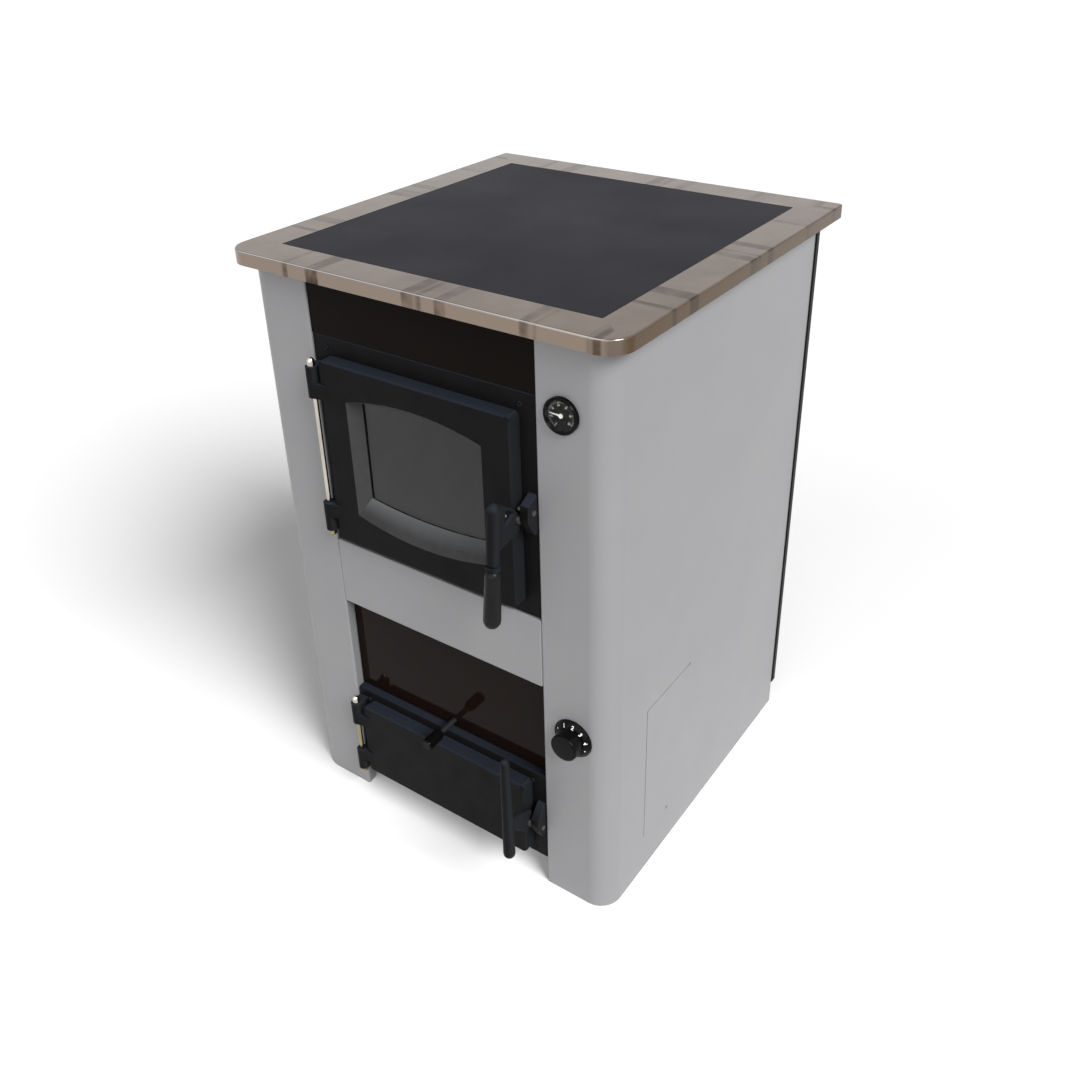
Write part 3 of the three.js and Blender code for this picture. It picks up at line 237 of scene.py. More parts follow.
# %% A maker of node groups
def node_group(name, inputs, outputs):
    """An empty group with named sockets: inputs are (name, kind, start value), outputs are (name, kind)."""
    group = bpy.data.node_groups.new(name, "ShaderNodeTree")
    for label, kind, value in inputs:
        socket = group.interface.new_socket(name=label, in_out="INPUT", socket_type=kind)
        socket.default_value = value
    for label, kind in outputs:
        group.interface.new_socket(name=label, in_out="OUTPUT", socket_type=kind)
    return group, group.nodes.new("NodeGroupInput"), group.nodes.new("NodeGroupOutput")


def noise_from(group, scale, detail, roughness, stretch=None):
    """Noise on Object coordinates; stretch is a vector that squeezes the pattern."""
    where = group.nodes.new("ShaderNodeTexCoord").outputs["Object"]
    texture = group.nodes.new("ShaderNodeTexNoise")
    texture.inputs["Detail"].default_value = detail
    texture.inputs["Roughness"].default_value = roughness
    feed(group, texture.inputs["Scale"], scale)
    if stretch:
        squeeze = group.nodes.new("ShaderNodeMapping")
        squeeze.inputs["Scale"].default_value = stretch
        group.links.new(where, squeeze.inputs["Vector"])
        where = squeeze.outputs["Vector"]
    group.links.new(where, texture.inputs["Vector"])
    return texture.outputs["Fac"]


print("helpers for node groups")

# %% [markdown]
# Mottle mixes two colours by soft clouds. Paint, plate and castings all need it, because no real surface
# has one flat colour. The contrast input says how sharply one colour turns into the other. The Mix node
# has sockets for every kind of data, and the ones for colours are reached by their number.

# %% Mottle
MIX_A = 6
MIX_B = 7
MIX_RESULT = 2


def mix_colours(tree, mask, first, second):
    """The first colour where the mask is 0, the second where it is 1."""
    node = tree.nodes.new("ShaderNodeMix")
    node.data_type = "RGBA"
    tree.links.new(mask, node.inputs["Factor"])
    feed(tree, node.inputs[MIX_A], first)
    feed(tree, node.inputs[MIX_B], second)
    return node.outputs[MIX_RESULT]


mottle, m_in, m_out = node_group(
    "mottle",
    [
        ("Colour A", "NodeSocketColor", (0.5, 0.5, 0.5, 1)),
        ("Colour B", "NodeSocketColor", (0.4, 0.4, 0.4, 1)),
        ("Scale", "NodeSocketFloat", 12.0),
        ("Contrast", "NodeSocketFloat", 2.0),
    ],
    [("Colour", "NodeSocketColor"), ("Mask", "NodeSocketFloat")],
)
centred = calculate(mottle, "SUBTRACT", noise_from(mottle, m_in.outputs["Scale"], 5, 0.55), 0.5)
steeper = calculate(mottle, "MULTIPLY", centred, m_in.outputs["Contrast"])
clouds = calculate(mottle, "ADD", steeper, 0.5)
clouds.node.use_clamp = True
mixed = mix_colours(mottle, clouds, m_in.outputs["Colour A"], m_in.outputs["Colour B"])
mottle.links.new(mixed, m_out.inputs["Colour"])
mottle.links.new(clouds, m_out.inputs["Mask"])
print("group", mottle.name)

# %% [markdown]
# Grain is the height of a fine rough skin: the sand of a casting, the orange peel of sprayed paint, the
# texture of moulded plastic. It is two noises, one coarse and one four times finer, and feeds a Bump node.

# %% Grain
TIMES_FINER = 4
FINE_SHARE = 0.35
grain, g_in, g_out = node_group(
    "grain", [("Scale", "NodeSocketFloat", 900.0)], [("Height", "NodeSocketFloat")]
)
coarse = noise_from(grain, g_in.outputs["Scale"], 3, 0.5)
fine = noise_from(grain, calculate(grain, "MULTIPLY", g_in.outputs["Scale"], TIMES_FINER), 2, 0.5)
grain.links.new(calculate(grain, "MULTIPLY_ADD", fine, FINE_SHARE, coarse), g_out.inputs["Height"])
print("group", grain.name)

# %% [markdown]
# Brushed steel has hair-fine lines along the way it was rolled. Noise squeezed sixtyfold across them
# gives such lines. The mask changes the roughness from line to line.

# %% Brushed lines
SQUEEZE = 60
brushed, b_in, b_out = node_group(
    "brushed_lines", [("Scale", "NodeSocketFloat", 40.0)], [("Mask", "NodeSocketFloat")]
)
lines = noise_from(brushed, b_in.outputs["Scale"], 4, 0.6, (1, SQUEEZE, SQUEEZE))
brushed.links.new(lines, b_out.inputs["Mask"])
print("group", brushed.name)

# %% [markdown]
# ## One function for a finish
# Most finishes are the same idea with other numbers: two near colours in clouds, a roughness that wanders
# a little, and a fine grain as bump. Metalness and specular level are constants, so they are set on the
# shader's own sockets. Colours are given as a screen shows them, and turned into light values first.

# %% Colours and ramps
def srgb(red, green, blue):
    """A colour as a screen shows it, 0 to 255, turned into the light values that a shader adds up."""
    channels = []
    for value in (red, green, blue):
        v = value / 255
        channels.append(v / 12.92 if v <= 0.04045 else ((v + 0.055) / 1.055) ** 2.4)
    return (*channels, 1)


def ramp(tree, value, low, high, to_low=0.0, to_high=1.0):
    """A Map Range node from low and high to the other two numbers."""
    node = tree.nodes.new("ShaderNodeMapRange")
    node.inputs["From Min"].default_value = low
    node.inputs["From Max"].default_value = high
    node.inputs["To Min"].default_value = to_low
    node.inputs["To Max"].default_value = to_high
    tree.links.new(value, node.inputs["Value"])
    return node.outputs["Result"]


print("a middle grey of 128 is light of", round(srgb(128, 128, 128)[0], 3))

# %% The finish function
finishes = {}


def use_group(tree, group, **values):
    """Places a group in a material and gives its outputs; an underscore in a name stands for a space."""
    node = tree.nodes.new("ShaderNodeGroup")
    node.node_tree = group
    for label, value in values.items():
        feed(tree, node.inputs[label.replace("_", " ")], value)
    return node.outputs


def add_bump(material, height, depth):
    """Bumps from a height of 0 to 1; depth is how deep they go, in millimetres."""
    tree = material.node_tree
    bump = tree.nodes.new("ShaderNodeBump")
    bump.inputs["Strength"].default_value = 1
    bump.inputs["Distance"].default_value = depth * MM
    tree.links.new(height, bump.inputs["Height"])
    tree.links.new(bump.outputs["Normal"], shader_of(material).inputs["Normal"])


def finish(
    name, light, dark, scale, contrast, rough, metallic=0.0, specular=0.5, grain_scale=0, depth=0.0,
):
    """A finish of two cloudy colours, a wandering roughness (low, high) and a grain of that depth in mm."""
    made = bpy.data.materials.new(name)
    made.use_nodes = True
    tree = made.node_tree
    shader = shader_of(made)
    shader.inputs["Metallic"].default_value = metallic
    shader.inputs["Specular IOR Level"].default_value = specular
    cloudy = use_group(tree, mottle, Colour_A=light, Colour_B=dark, Scale=scale, Contrast=contrast)
    tree.links.new(cloudy["Colour"], shader.inputs["Base Color"])
    tree.links.new(ramp(tree, cloudy["Mask"], 0.0, 1.0, *rough), shader.inputs["Roughness"])
    if grain_scale:
        add_bump(made, use_group(tree, grain, Scale=grain_scale)["Height"], depth)
    finishes[name] = made
    return made


print("one function makes every finish")

# %% [markdown]
# ## The finishes
# Grey paint is a satin silver grey with the faint orange peel of spraying. The castings are sprayed with
# a heat-proof black over a sandy skin. The panel behind the lower door is gloss black and mirrors what
# stands in front of it. The cooking plate is dark steel, nearly matt from heat and oil. After the two
# colours, each line gives the clouds' scale and contrast, the roughness, the metalness, the specular
# level, and the grain's scale and depth.

# %% Paints, metals and plastics
finish("grey_paint", srgb(133, 133, 134), srgb(129, 129, 131), 9, 1.4, (0.34, 0.4), 0.0, 0.22, 420, 0.035)
finish("cast_black", srgb(21, 21, 22), srgb(16, 16, 17), 30, 2.0, (0.4, 0.5), 0.0, 0.03, 700, 0.14)
finish("gloss_black", srgb(22, 14, 11), srgb(18, 12, 9), 8, 1.5, (0.04, 0.08), 0.0, 0.045, 160, 0.01)
finish("strip_black", srgb(17, 13, 10), srgb(14, 10, 8), 8, 1.5, (0.2, 0.3), 0.0, 0.03, 160, 0.01)
finish("rear_black", srgb(24, 24, 25), srgb(19, 19, 20), 14, 1.6, (0.48, 0.56), 0.0, 0.15, 500, 0.05)
finish("cook_plate_steel", srgb(42, 42, 47), srgb(34, 34, 39), 6, 1.6, (0.5, 0.62), 0.0, 0.05, 500, 0.03)
finish("black_plastic", srgb(11, 10, 10), srgb(8, 7, 7), 40, 2.0, (0.12, 0.2), 0.0, 0.07, 1500, 0.01)
finish("grip_black", srgb(25, 25, 25), srgb(19, 19, 19), 40, 2.0, (0.25, 0.35), 0.0, 0.1, 1500, 0.02)
finish("grey_iron", srgb(74, 68, 62), srgb(46, 43, 41), 24, 3.0, (0.6, 0.78), 0.6, 0.5, 500, 0.2)
finish("burnt_steel", srgb(64, 65, 68), srgb(46, 46, 48), 20, 3.0, (0.35, 0.5), 0.7, 0.3, 300, 0.05)
finish("raw_steel", srgb(120, 116, 112), srgb(82, 78, 75), 14, 3.0, (0.38, 0.6), 0.85, 0.5, 300, 0.05)
finish("chrome", srgb(206, 198, 188), srgb(176, 168, 158), 60, 2.0, (0.06, 0.16), 1.0, 0.5, 300, 0.01)
finish("gilt", srgb(164, 150, 116), srgb(138, 122, 90), 60, 2.0, (0.18, 0.3), 1.0, 0.5, 300, 0.02)
finish("dark_felt", srgb(34, 33, 32), srgb(26, 25, 24), 60, 2.0, (0.85, 0.95), 0.0, 0.1, 900, 0.1)
finish("dial_print", srgb(228, 227, 220), srgb(212, 211, 204), 200, 1.5, (0.4, 0.5), 0.0, 0.4, 900, 0.01)
finish("needle_white", srgb(236, 236, 232), srgb(228, 228, 224), 200, 1.5, (0.4, 0.5), 0.0, 0.4, 900, 0.01)
# The next finish is for the slope round the door's glass: painted light, lighter than the door for the
# light it takes from above and from the right.
finish("painted_lit_slope", srgb(58, 58, 59), srgb(50, 50, 51), 40, 2.0, (0.6, 0.75), 0.0, 0.1, 700, 0.1)
print(len(finishes), "finishes")

# %% [markdown]
# The frame round the plate is polished steel, and what shows on it is the room: dark strokes that cross
# the rim every few centimetres, put into its colour as a painted reflection. A stroke crosses the front
# rim along y and a side rim along x. So the group picks the coordinate that runs along the rim, and
# one-dimensional noise on it gives strokes of uneven width. Middle Y is where the frame's middle lies, in
# metres.

# %% Strokes across a rim
def parts_of(tree, coordinate):
    """The x, y and z of a texture coordinate: Object is a place, Normal is where the surface faces."""
    where = tree.nodes.new("ShaderNodeTexCoord")
    parts = tree.nodes.new("ShaderNodeSeparateXYZ")
    tree.links.new(where.outputs[coordinate], parts.inputs[0])
    return parts.outputs


strokes, s_in, s_out = node_group(
    "painted_rim_reflection",
    [
        ("Middle Y", "NodeSocketFloat", 0.031),
        ("Scale", "NodeSocketFloat", 26.0),
        ("Cover", "NodeSocketFloat", 0.56),
    ],
    [("Mask", "NodeSocketFloat")],
)
across = parts_of(strokes, "Object")
from_middle = calculate(strokes, "SUBTRACT", across["Y"], s_in.outputs["Middle Y"])
out_sideways = calculate(strokes, "ABSOLUTE", across["X"])
out_lengthways = calculate(strokes, "ABSOLUTE", from_middle)
along = strokes.nodes.new("ShaderNodeMix")
strokes.links.new(calculate(strokes, "GREATER_THAN", out_sideways, out_lengthways), along.inputs["Factor"])
strokes.links.new(across["X"], along.inputs["A"])
strokes.links.new(from_middle, along.inputs["B"])
beams = strokes.nodes.new("ShaderNodeTexNoise")
beams.noise_dimensions = "1D"
beams.inputs["Detail"].default_value = 1.5
strokes.links.new(along.outputs["Result"], beams.inputs["W"])
strokes.links.new(s_in.outputs["Scale"], beams.inputs["Scale"])
above = calculate(strokes, "SUBTRACT", beams.outputs["Fac"], s_in.outputs["Cover"])
edge = ramp(strokes, above, 0.0, 0.05)
broken = ramp(strokes, noise_from(strokes, s_in.outputs["Scale"], 3, 0.6), 0.35, 0.6, 0.35, 1.0)
strokes.links.new(calculate(strokes, "MULTIPLY", edge, broken), s_out.inputs["Mask"])
print("group", strokes.name)

# %% [markdown]
# Each side of the frame carries a painted reflection of another part of the room: the skirt in front a
# paler one, the skirt on the right a browner one, and the brownish base tone is painted reflection as well.
# The fold along the front gets a painted highlight, the brightest light as one thin line. It lies where the
# surface turns from facing up to facing front, so the product of those two parts of the normal marks it.
# Hair-fine lines then make the roughness uneven.

# %% Polished steel
REFLECTED_STROKE_SHARE = 0.95
FOLD_HIGHLIGHT_SHARE = 0.8


def lay_over(material, mask, colour):
    """Mixes a colour over what the base colour was until now, where the mask is 1."""
    tree = material.node_tree
    base = shader_of(material).inputs["Base Color"]
    tree.links.new(mix_colours(tree, mask, base.links[0].from_socket, colour), base)


steel = finish("polished_steel", srgb(127, 114, 104), srgb(106, 93, 83), 16, 2.2, (0.1, 0.2), 1.0)
tree = steel.node_tree
facing = parts_of(tree, "Normal")
# Painted reflections: a paler room in the front skirt, a browner one in the right skirt.
lay_over(steel, ramp(tree, facing["Y"], -0.85, -0.97), srgb(141, 127, 115))
lay_over(steel, ramp(tree, facing["X"], 0.8, 0.97), srgb(96, 78, 59))
# The dark strokes across the rim are painted reflection.
room = calculate(tree, "MULTIPLY", use_group(tree, strokes)["Mask"], REFLECTED_STROKE_SHARE)
lay_over(steel, room, srgb(70, 56, 47))
# The painted highlight along the front fold.
fold = ramp(tree, calculate(tree, "MULTIPLY", facing["Y"], facing["Z"]), -0.4, -0.49)
lay_over(steel, calculate(tree, "MULTIPLY", fold, FOLD_HIGHLIGHT_SHARE), srgb(204, 208, 214))
hairs = use_group(tree, brushed, Scale=30.0)["Mask"]
tree.links.new(ramp(tree, hairs, 0.0, 1.0, 0.08, 0.26), shader_of(steel).inputs["Roughness"])
print("polished steel with strokes")

# %% [markdown]
# A casting is painted bluish and lighter wherever it faces up, a painted highlight for the light from
# above, and a little lighter where it faces right, a painted highlight for the key light. Those parts of
# the normal are the masks. The slope round the door's glass gets a painted highlight where it faces up as
# well.

# %% Painted highlights on castings by facing
casting = finishes["cast_black"]
facing = parts_of(casting.node_tree, "Normal")
# Painted highlights: lighter on what faces up and on what faces the key light.
lay_over(casting, ramp(casting.node_tree, facing["Z"], 0.2, 0.9), srgb(36, 40, 48))
lay_over(casting, ramp(casting.node_tree, facing["X"], 0.4, 0.9), srgb(29, 30, 32))
# The slope round the glass: lighter still where it faces up, a painted highlight.
lit_slope_finish = finishes["painted_lit_slope"]
lit_slope_facing = parts_of(lit_slope_finish.node_tree, "Normal")
lay_over(lit_slope_finish, ramp(lit_slope_finish.node_tree, lit_slope_facing["Z"], 0.15, 0.6), srgb(92, 94, 96))
print("castings painted_light_added")

# %% [markdown]
# A door rope is braided from glass fibre. Two sets of diagonal waves that cross give the plait, as a
# height for the bump. They lean as far to one side as to the other.

# %% Rope
LEAN = 0.7
STRAND_SCALE = 90
rope = finish("rope_seal", srgb(170, 166, 156), srgb(140, 136, 126), 60, 2.0, (0.85, 0.95), 0.0, 0.2)
tree = rope.node_tree
where = tree.nodes.new("ShaderNodeTexCoord")
plait = []
for turn in (LEAN, -LEAN):
    lean = tree.nodes.new("ShaderNodeMapping")
    lean.inputs["Rotation"].default_value = (0, turn, 0)
    strand = tree.nodes.new("ShaderNodeTexWave")
    strand.bands_direction = "X"
    strand.inputs["Scale"].default_value = STRAND_SCALE
    tree.links.new(where.outputs["Object"], lean.inputs["Vector"])
    tree.links.new(lean.outputs["Vector"], strand.inputs["Vector"])
    plait.append(strand.outputs["Fac"])
add_bump(rope, calculate(tree, "MAXIMUM", *plait), 0.6)
print("rope plait")

# %% [markdown]
# Glass is a clear body whose look comes from what lies behind it and what it mirrors. The door glass is
# smoked, which is a grey tone and a roughness that wanders, and the dial glass is clean.

# %% Glass
def glass(name, tone, rough, bend):
    """Clear glass; bend is its index of refraction, and a lower one mirrors less."""
    shader = shader_of(finish(name, tone, tone, 30, 1.5, rough))
    shader.inputs["Transmission Weight"].default_value = 1
    shader.inputs["IOR"].default_value = bend


glass("sight_glass", srgb(120, 120, 120), (0.005, 0.02), 1.41)
glass("dial_glass", srgb(250, 250, 250), (0.0, 0.02), 1.15)
print(sorted(finishes))

# %% [markdown]
# ## Softening a solid
# A solid from the CAD model has knife-sharp edges and loose triangles. A copy of it is welded together,
# and its flat parts are cleaned of needless edges. Its long sharp edges may then get a small bevel.

# %% A cleaned and bevelled copy
WELD = 2e-6  # metres
FLAT = 0.4  # degrees


def clean_copy(node):
    """A welded copy of a solid's mesh, with only the edges that matter, as a bmesh."""
    bm = bmesh.new()
    bm.from_mesh(nodes[node].data)
    bmesh.ops.remove_doubles(bm, verts=bm.verts, dist=WELD)
    bmesh.ops.dissolve_limit(
        bm, angle_limit=math.radians(FLAT), use_dissolve_boundaries=False, verts=bm.verts, edges=bm.edges,
        delimit={"NORMAL"},
    )
    return bm


def hard_edges(bm, angle, shortest):
    """The edges between two faces that meet at more than that angle and are at least that long, in mm."""
    found = []
    for edge in bm.edges:
        if len(edge.link_faces) == 2 and edge.calc_length() >= shortest * MM:
            if edge.calc_face_angle(0) > math.radians(angle):
                found.append(edge)
    return found


def soften(bm, edges, radius, segments=2):
    """A round bevel of that many millimetres along the edges."""
    bmesh.ops.bevel(
        bm, geom=edges, offset=radius * MM, offset_type="OFFSET", segments=segments, profile=0.5,
        affect="EDGES", clamp_overlap=True, material=-1,
    )


trial = clean_copy("lower_door")
print("lower door:", len(nodes["lower_door"].data.edges), "edges, cleaned", len(trial.edges))
trial.free()

# %% [markdown]
# Smooth shading with weighted normals rounds the edges for the eye, while the flat faces stay flat. A
# dressed copy stands in for its solid: it rides on the same body, and the solid is hidden. Most copies take
# the finish that is named like their slot. A few parts look unlike the others of their slot.

# %% The dressing function
OWN_LOOK = {
    "upper_front_strip": "strip_black",
    "grate_rod": "burnt_steel",
    "upper_latch_grip": "grip_black",
    "glass_gasket": "dark_felt",
}


def look_of(node):
    return finishes[OWN_LOOK.get(node, slot_of[node])]


def smooth(piece, sharp=38):
    """Smooth shading but for edges sharper than that angle, with normals that favour the larger faces."""
    piece.data.polygons.foreach_set("use_smooth", [True] * len(piece.data.polygons))
    piece.data.set_sharp_from_angle(angle=math.radians(sharp))
    weighted = piece.modifiers.new("weighted_normals", "WEIGHTED_NORMAL")
    weighted.keep_sharp = True
    weighted.weight = 50


def stand_in(bm, node):
    """The piece that takes a solid's place and body, with its finish; the solid is hidden."""
    piece = object_from(bm, node + "_dressed", look_of(node))
    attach(piece, nodes[node]["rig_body"])
    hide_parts(node)
    return piece


def dress(node, radius=0.0, angle=50, shortest=3.0, sharp=38, only=None):
    """The finished copy of a solid; only picks the points whose edges are bevelled."""
    bm = clean_copy(node)
    if radius:
        edges = hard_edges(bm, angle, shortest)
        if only:
            edges = [e for e in edges if all(only(v.co) for v in e.verts)]
        soften(bm, edges, radius)
    piece = stand_in(bm, node)
    smooth(piece, sharp)
    return piece


print("parts with a look of their own:", sorted(OWN_LOOK))

# %% [markdown]
# ## The casing and the hob
# Folded sheet has a small radius at each bend, which the solids already have, so these pieces need only
# clean normals. The bright line on the hob frame's fold is a painted highlight in the steel's finish.

# %% Sheet metal
for name in (
    "hob_frame", "cook_plate", "right_side_panel", "left_side_panel", "middle_front_panel",
    "lower_front_plate", "base_tray", "upper_front_strip",
):
    dress(name)
print("sheet metal dressed")

# %% [markdown]
# The black panel at the back stands a few millimetres past the grey side, so that a thin black line shows
# along the right edge in the photograph. Its two ends are drawn out here to show it.

# %% Rear panel
SIDE_LAP = 6.0
ENDS_FROM = 255.0  # what lies farther out than this belongs to an end
rear = dress("rear_cover")
for vertex in rear.data.vertices:
    if abs(vertex.co.x) > ENDS_FROM * MM:
        vertex.co.x += math.copysign(SIDE_LAP * MM, vertex.co.x)
print("rear panel", round(rear.dimensions.x / MM), "mm wide")

# %% [markdown]
# ## The castings
# Cast iron never has a sharp edge, because sand won't hold one. The doors get a small bevel all round. On
# the surrounds only what stands in front of their face gets one: the hinge lugs and the strike ears.

# %% Doors and surrounds
PROUD_DEPTH = 24.0  # from the foremost point of the lugs to just in front of the face


def dress_surround(name):
    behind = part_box(name)[0].y + PROUD_DEPTH * MM
    dress(name, radius=1.0, angle=40, shortest=5.0, sharp=50, only=lambda point: point.y < behind)


dress_surround("upper_surround")
dress_surround("lower_surround")
dress("lower_door", radius=0.9, angle=40, shortest=6.0, sharp=50)
upper_door = dress("upper_door", radius=0.9, angle=40, shortest=6.0, sharp=50)
print("castings dressed")

# %% [markdown]
# The slope round the door's glass is painted lighter and greyer than the door, as painted light for the
# light it takes from above and from the right. The faces of that slope lie between the front of the door
# and the glass, inside the outline of the window, so they are the ones whose middle is in a box of that
# size. The box starts behind the foremost point of the surround and ends just in front of the glass. They
# get that lighter finish.

# %% Painted light round the glass
WINDOW_HALF = 106
WINDOW_LOW = 504
WINDOW_HIGH = 702
BEHIND_SURROUND = 7.9
BEFORE_GLASS = 0.9
slope_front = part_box("upper_surround")[0].y + BEHIND_SURROUND * MM
slope_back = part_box("door_glass")[0].y - BEFORE_GLASS * MM
near_corner = Vector((-WINDOW_HALF * MM, slope_front, WINDOW_LOW * MM))
far_corner = Vector((WINDOW_HALF * MM, slope_back, WINDOW_HIGH * MM))
upper_door.data.materials.append(finishes["painted_lit_slope"])
painted_lit = 0
for face in upper_door.data.polygons:
    if all(low < middle < high for low, middle, high in zip(near_corner, face.center, far_corner)):
        face.material_index = 1
        painted_lit += 1
print("dusty faces:", painted_lit)

# %% [markdown]
# The two levers are cast in one piece, with a soft fillet wherever the round handle meets the flat web. No
# edge bevel makes such a fillet well. A voxel remesh does: it fills the shape with small cubes and skins
# them, and a few rounds of smoothing then melt the joints, much like the fillets of a foundry pattern.

# %% Levers
VOXEL = 0.8
MELT_ROUNDS = 5


def cast_in_one(node):
    """The stand-in for a lever, skinned anew and melted a little."""
    piece = stand_in(clean_copy(node), node)
    skin = piece.modifiers.new("skin", "REMESH")
    skin.mode = "VOXEL"
    skin.voxel_size = VOXEL * MM
    skin.use_smooth_shade = True
    melt = piece.modifiers.new("melt", "SMOOTH")
    melt.factor = 0.5
    melt.iterations = MELT_ROUNDS


cast_in_one("upper_latch_lever")
cast_in_one("lower_latch_lever")
print("levers cast")

# %% [markdown]
# ## Small parts
# Pins, nuts, knobs and rings are round already, so they need only smooth shading. So do the glass, the
# ropes, the ash pan and the grate, which show through the glass or the open doors.

# %% Small parts
for name in (
    "upper_latch_grip", "grate_knob", "grate_rod", "upper_hinge_pin", "upper_hinge_cap", "upper_hinge_nut",
    "lower_hinge_pin", "lower_hinge_cap", "lower_hinge_nut", "upper_latch_screw", "lower_latch_screw",
    "upper_strike_pin", "lower_strike_pin", "thermometer_case", "thermometer_dial", "thermometer_needle",
    "thermometer_glass", "regulator_dial", "flue_spigot", "flow_socket", "return_socket", "door_glass",
    "glass_retainer", "upper_door_rope", "lower_door_rope", "ash_pan", "ash_pan_handle", "fire_grate",
):
    dress(name)
print("small parts dressed")

# %% [markdown]
# ## The boiler inside
# The boiler's plates show only through the open doors and from below. They keep the solids' own meshes.

# %% Inner plates
def give_finish(node):
    """A solid that hardly shows keeps its own mesh, with its finish."""
    solid = nodes[node]
    solid.data.materials.clear()
    solid.data.materials.append(look_of(node))


for name in sorted(nodes):
    if not nodes[name].hide_render:
        give_finish(name)
        print("plain:", name)

# %% [markdown]
# ## Screws
# The surrounds are held by button-head screws. A head starts as a short cylinder. A bevel rounds its front
# rim, and the flat that is left is inset and pushed in, which gives the socket for the key.

# %% Screw heads
SCREW_X = 147.5
SCREW_HEIGHTS = (741, 178.6, 50.8)
SCREW_Y = 19.4  # the middle of a head's depth
HEAD_RADIUS = 3.4
HEAD_DEPTH = 2.4
HEAD_ROUND = 0.9
SOCKET_RIM = 0.9
SOCKET_DEPTH = 0.9


def disc(bm, seat, radius, depth, segments):
    """The points of a short cylinder, in millimetres, whose axis is the z of the matrix seat."""
    made = bmesh.ops.create_cone(
        bm, cap_ends=True, segments=segments, radius1=radius * MM, radius2=radius * MM, depth=depth * MM,
        matrix=seat,
    )
    return made["verts"]


def screw_head(bm, x, y, z):
    """A button head that faces the front, centred on that point."""
    seat = Matrix.Translation(place(x, y, z)) @ Matrix.Rotation(math.radians(90), 4, "X")
    sides = {face for point in disc(bm, seat, HEAD_RADIUS, HEAD_DEPTH, 20) for face in point.link_faces}
    front = min(sides, key=lambda face: face.calc_center_median().y)
    soften(bm, list(front.edges), HEAD_ROUND, 3)
    tip = place(x, y - HEAD_DEPTH / 2, z)
    flat = min(bm.faces, key=lambda face: (face.calc_center_median() - tip).length)
    bmesh.ops.inset_individual(bm, faces=[flat], thickness=SOCKET_RIM * MM)
    bmesh.ops.translate(bm, verts=flat.verts, vec=(0, SOCKET_DEPTH * MM, 0))


def small_pieces(name, body, slot_name, build, look=None):
    """A new piece on that body; the function build fills its bmesh."""
    bm = bmesh.new()
    build(bm)
    piece = object_from(bm, name, finishes[look or slot_name])
    smooth(piece)
    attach(piece, body)
    return piece


def surround_screws(bm):
    for x in (-SCREW_X, SCREW_X):
        for z in SCREW_HEIGHTS:
            screw_head(bm, x, SCREW_Y, z)


small_pieces("surround_screws", "root", "cast_black", surround_screws)
print("screws set:", 2 * len(SCREW_HEIGHTS))

# %% [markdown]
# ## The regulator's grip
# The grip is a turned plastic knob. In the photograph it is a little wider and shorter than the solid, so
# it is made anew here: half of its outline is drawn with a few points, and a spin round its axis makes the
# body.

# %% Regulator grip
GRIP_RADIUS = 19.0
GRIP_DEPTH = 16.0
GRIP_STEPS = 64


def front_centre(node):
    """The middle of the front of a round solid."""
    low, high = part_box(node)
    return Vector(((low.x + high.x) / 2, low.y, (low.z + high.z) / 2))


def turned_grip(bm):
    """Its points are a radius and a depth: the flat front, the rounded edge and the flared side."""
    outline = [
        (0, GRIP_DEPTH), (GRIP_RADIUS - 2.4, GRIP_DEPTH), (GRIP_RADIUS - 1.0, GRIP_DEPTH - 0.4),
        (GRIP_RADIUS - 0.2, GRIP_DEPTH - 1.4), (GRIP_RADIUS, GRIP_DEPTH - 2.8), (GRIP_RADIUS + 0.5, 0),
        (0, 0),
    ]
    points = [bm.verts.new(knob_centre + Vector((r * MM, -d * MM, 0))) for r, d in outline]
    rim = [bm.edges.new(pair) for pair in zip(points, points[1:])]
    bmesh.ops.spin(
        bm, geom=points + rim, cent=knob_centre, axis=(0, 1, 0), angle=math.tau, steps=GRIP_STEPS,
        use_merge=True,
    )
    bmesh.ops.remove_doubles(bm, verts=bm.verts, dist=WELD)
    bmesh.ops.recalc_face_normals(bm, faces=bm.faces)


knob_centre = front_centre("regulator_dial")
grip = small_pieces("regulator_grip_turned", "regulator_knob", "black_plastic", turned_grip)
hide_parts("regulator_grip")
print("grip", GRIP_RADIUS * 2, "mm wide")

# %% [markdown]
# The thermometer's needle is a stamped strip on a round hub, white so that it reads against the dial. In
# the photograph it has no tail, and the whole dial sits turned by a few degrees, so needle and scale turn
# together. The points of the tail are those behind the hub, and they are drawn in to its edge.

# %% Needle
SCALE_TURN = 14  # degrees
NEEDLE_ANGLE = 162  # degrees from the right, where the solid needle points
TAIL_FROM = 3.0
HUB_EDGE = 2.6
PRINT_LIFT = 0.03
dial_centre = front_centre("thermometer_dial") - Vector((0, PRINT_LIFT * MM, 0))
turn = Matrix.Rotation(math.radians(-SCALE_TURN), 3, "Y")
rest_angle = math.radians(NEEDLE_ANGLE)
pointing = Vector((math.cos(rest_angle), 0, math.sin(rest_angle)))
for vertex in bpy.data.objects["thermometer_needle_dressed"].data.vertices:
    arm = vertex.co - dial_centre
    behind = -arm.dot(pointing)
    if behind > TAIL_FROM * MM:
        arm += pointing * (behind - HUB_EDGE * MM)
    vertex.co = dial_centre + turn @ arm
print("needle turned by", SCALE_TURN, "degrees")

# %% [markdown]
# ## Numbers
# The regulator's skirt carries white numbers, and the thermometer has ticks and small figures. Text in
# Blender is a curve. It is made a mesh first and then laid on the cone of the skirt, each number with its
# top outwards.

# %% Lettering helper
SIZE_PER_HEIGHT = 1.35  # a font's size, for a figure one unit tall


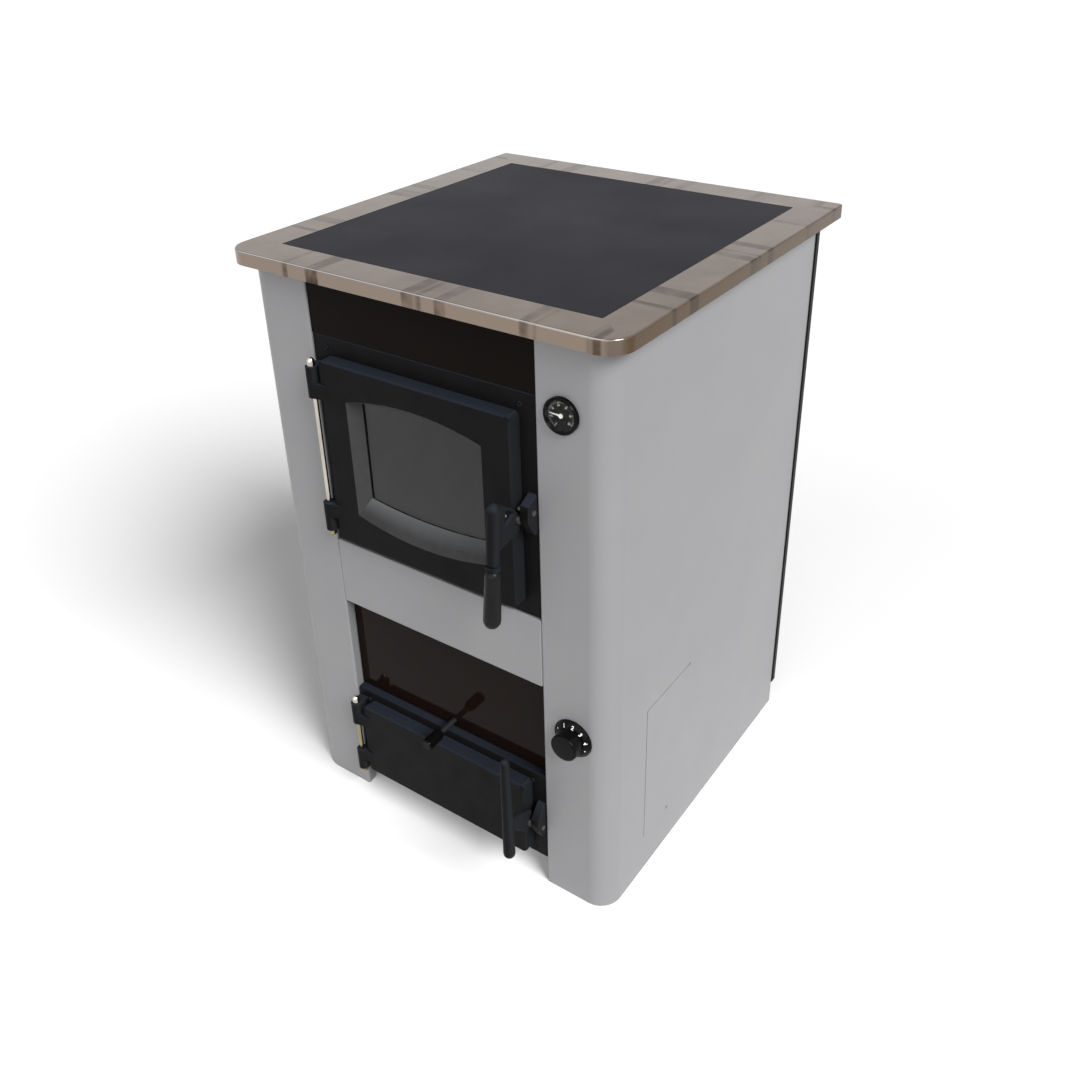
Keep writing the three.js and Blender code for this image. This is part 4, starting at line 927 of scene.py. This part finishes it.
def add_figure(bm, text, seat, height, bold, thick):
    """Adds a text to the bmesh, centred on the matrix seat; height, bold and thick are in millimetres."""
    curve = bpy.data.curves.new("figure", "FONT")
    curve.body = text
    curve.align_x = "CENTER"
    curve.align_y = "CENTER"
    curve.size = height * MM * SIZE_PER_HEIGHT
    curve.offset = bold * MM
    curve.extrude = thick * MM
    carrier = bpy.data.objects.new("figure", curve)
    bpy.context.scene.collection.objects.link(carrier)
    bpy.context.view_layer.update()
    mesh = bpy.data.meshes.new_from_object(carrier)
    bpy.data.objects.remove(carrier)
    mesh.transform(seat)
    bm.from_mesh(mesh)


def on_face(centre, angle, radius, tilt):
    """Where a mark sits on a dial that faces the front: angle from the right, counter-clockwise."""
    a = math.radians(angle)
    upright = Matrix.Rotation(math.radians(90), 4, "X")
    lean = Matrix.Rotation(-tilt, 4, "X")
    spin = Matrix.Rotation(math.radians(90) - a, 4, "Y")
    where = centre + Vector((math.cos(a) * radius * MM, 0, math.sin(a) * radius * MM))
    return Matrix.Translation(where) @ spin @ lean @ upright


print("marks sit round", [[round(v, 3) for v in centre] for centre in (knob_centre, dial_centre)])

# %% [markdown]
# The skirt is a cone, 2.8 mm deep over a width of 5.4 mm. The numbers 1 to 4 stand on it at even steps,
# with a dot before the first and one after the last.

# %% The regulator's numbers
SKIRT_TILT = math.atan2(2.8, 5.4)
MARK_RADIUS = 22.7
MARK_DEPTH = 1.55  # behind the front of the skirt, and a hair in front of its cone
FIRST_MARK = 148
MARK_STEP = 33


def regulator_marks(bm):
    centre = knob_centre + Vector((0, MARK_DEPTH * MM, 0))
    for index, text in enumerate(("", "1", "2", "3", "4", "")):
        seat = on_face(centre, FIRST_MARK - index * MARK_STEP, MARK_RADIUS, SKIRT_TILT)
        if text:
            add_figure(bm, text, seat, height=5.3, bold=0.2, thick=0.05)
        else:
            disc(bm, seat, radius=0.9, depth=0.12, segments=12)


small_pieces("regulator_numbers", "regulator_knob", "needle_white", regulator_marks)
print("numbers on the regulator")

# %% [markdown]
# The thermometer's scale runs clockwise from 0 to 120 degrees over three quarters of a circle. Every fourth
# tick is a long one with a figure inside it, 20 more than the last.

# %% The thermometer's scale
SCALE_START = 225 + SCALE_TURN
SCALE_SWEEP = 270
TICKS = 24
TICKS_PER_FIGURE = 4
DEGREES_PER_TICK = 5
LONG_TICK = (15.2, 2.4)  # the radius of its middle, and its length
SHORT_TICK = (15.8, 1.2)
TICK_WIDTH = 0.45
TICK_THICKNESS = 0.06
FIGURE_RADIUS = 12.2


def thermometer_scale(bm):
    for step in range(TICKS + 1):
        angle = SCALE_START - step * SCALE_SWEEP / TICKS
        has_figure = step % TICKS_PER_FIGURE == 0
        radius, length = LONG_TICK if has_figure else SHORT_TICK
        tick = Matrix.Diagonal((TICK_WIDTH * MM, length * MM, TICK_THICKNESS * MM, 1))
        bmesh.ops.create_cube(bm, size=1, matrix=on_face(dial_centre, angle, radius, 0) @ tick)
        if has_figure:
            seat = on_face(dial_centre, angle, FIGURE_RADIUS, 0)
            add_figure(bm, str(step * DEGREES_PER_TICK), seat, height=1.9, bold=0.02, thick=0.03)


small_pieces("thermometer_scale", "root", "needle_white", thermometer_scale, look="dial_print")
print("scale on the thermometer")

# %% [markdown]
# ## The ferrule of the grip
# Between the cast lever and its grip sits a short black ferrule. It is a disc set square to the grip's own
# line, which runs from the joint to the grip's end. Both are measured from the screw that the lever
# turns on.

# %% Ferrule
LATCH_X = 150  # the middle of the lever's thickness
LATCH_Y = 3
LATCH_Z = 602
FERRULE_RADIUS = 8.9
FERRULE_LENGTH = 4.4
FERRULE_ROUND = 0.2
INTO_LEVER = 0.6


def from_screw(y, z):
    """A point in the middle of the lever, that far from its screw."""
    return place(LATCH_X, LATCH_Y + y, LATCH_Z + z)


def ferrule(bm):
    turned = grip_line.to_track_quat("Z", "Y").to_matrix().to_4x4()
    seat = Matrix.Translation(joint - grip_line * INTO_LEVER * MM) @ turned
    disc(bm, seat, FERRULE_RADIUS, FERRULE_LENGTH, 32)
    soften(bm, list(bm.edges), FERRULE_ROUND, 2)


joint = from_screw(-47.5, -42)
grip_line = (from_screw(-55, -121) - joint).normalized()
small_pieces("grip_ferrule", "upper_latch", "cast_black", ferrule)
print("ferrule on the upper grip")
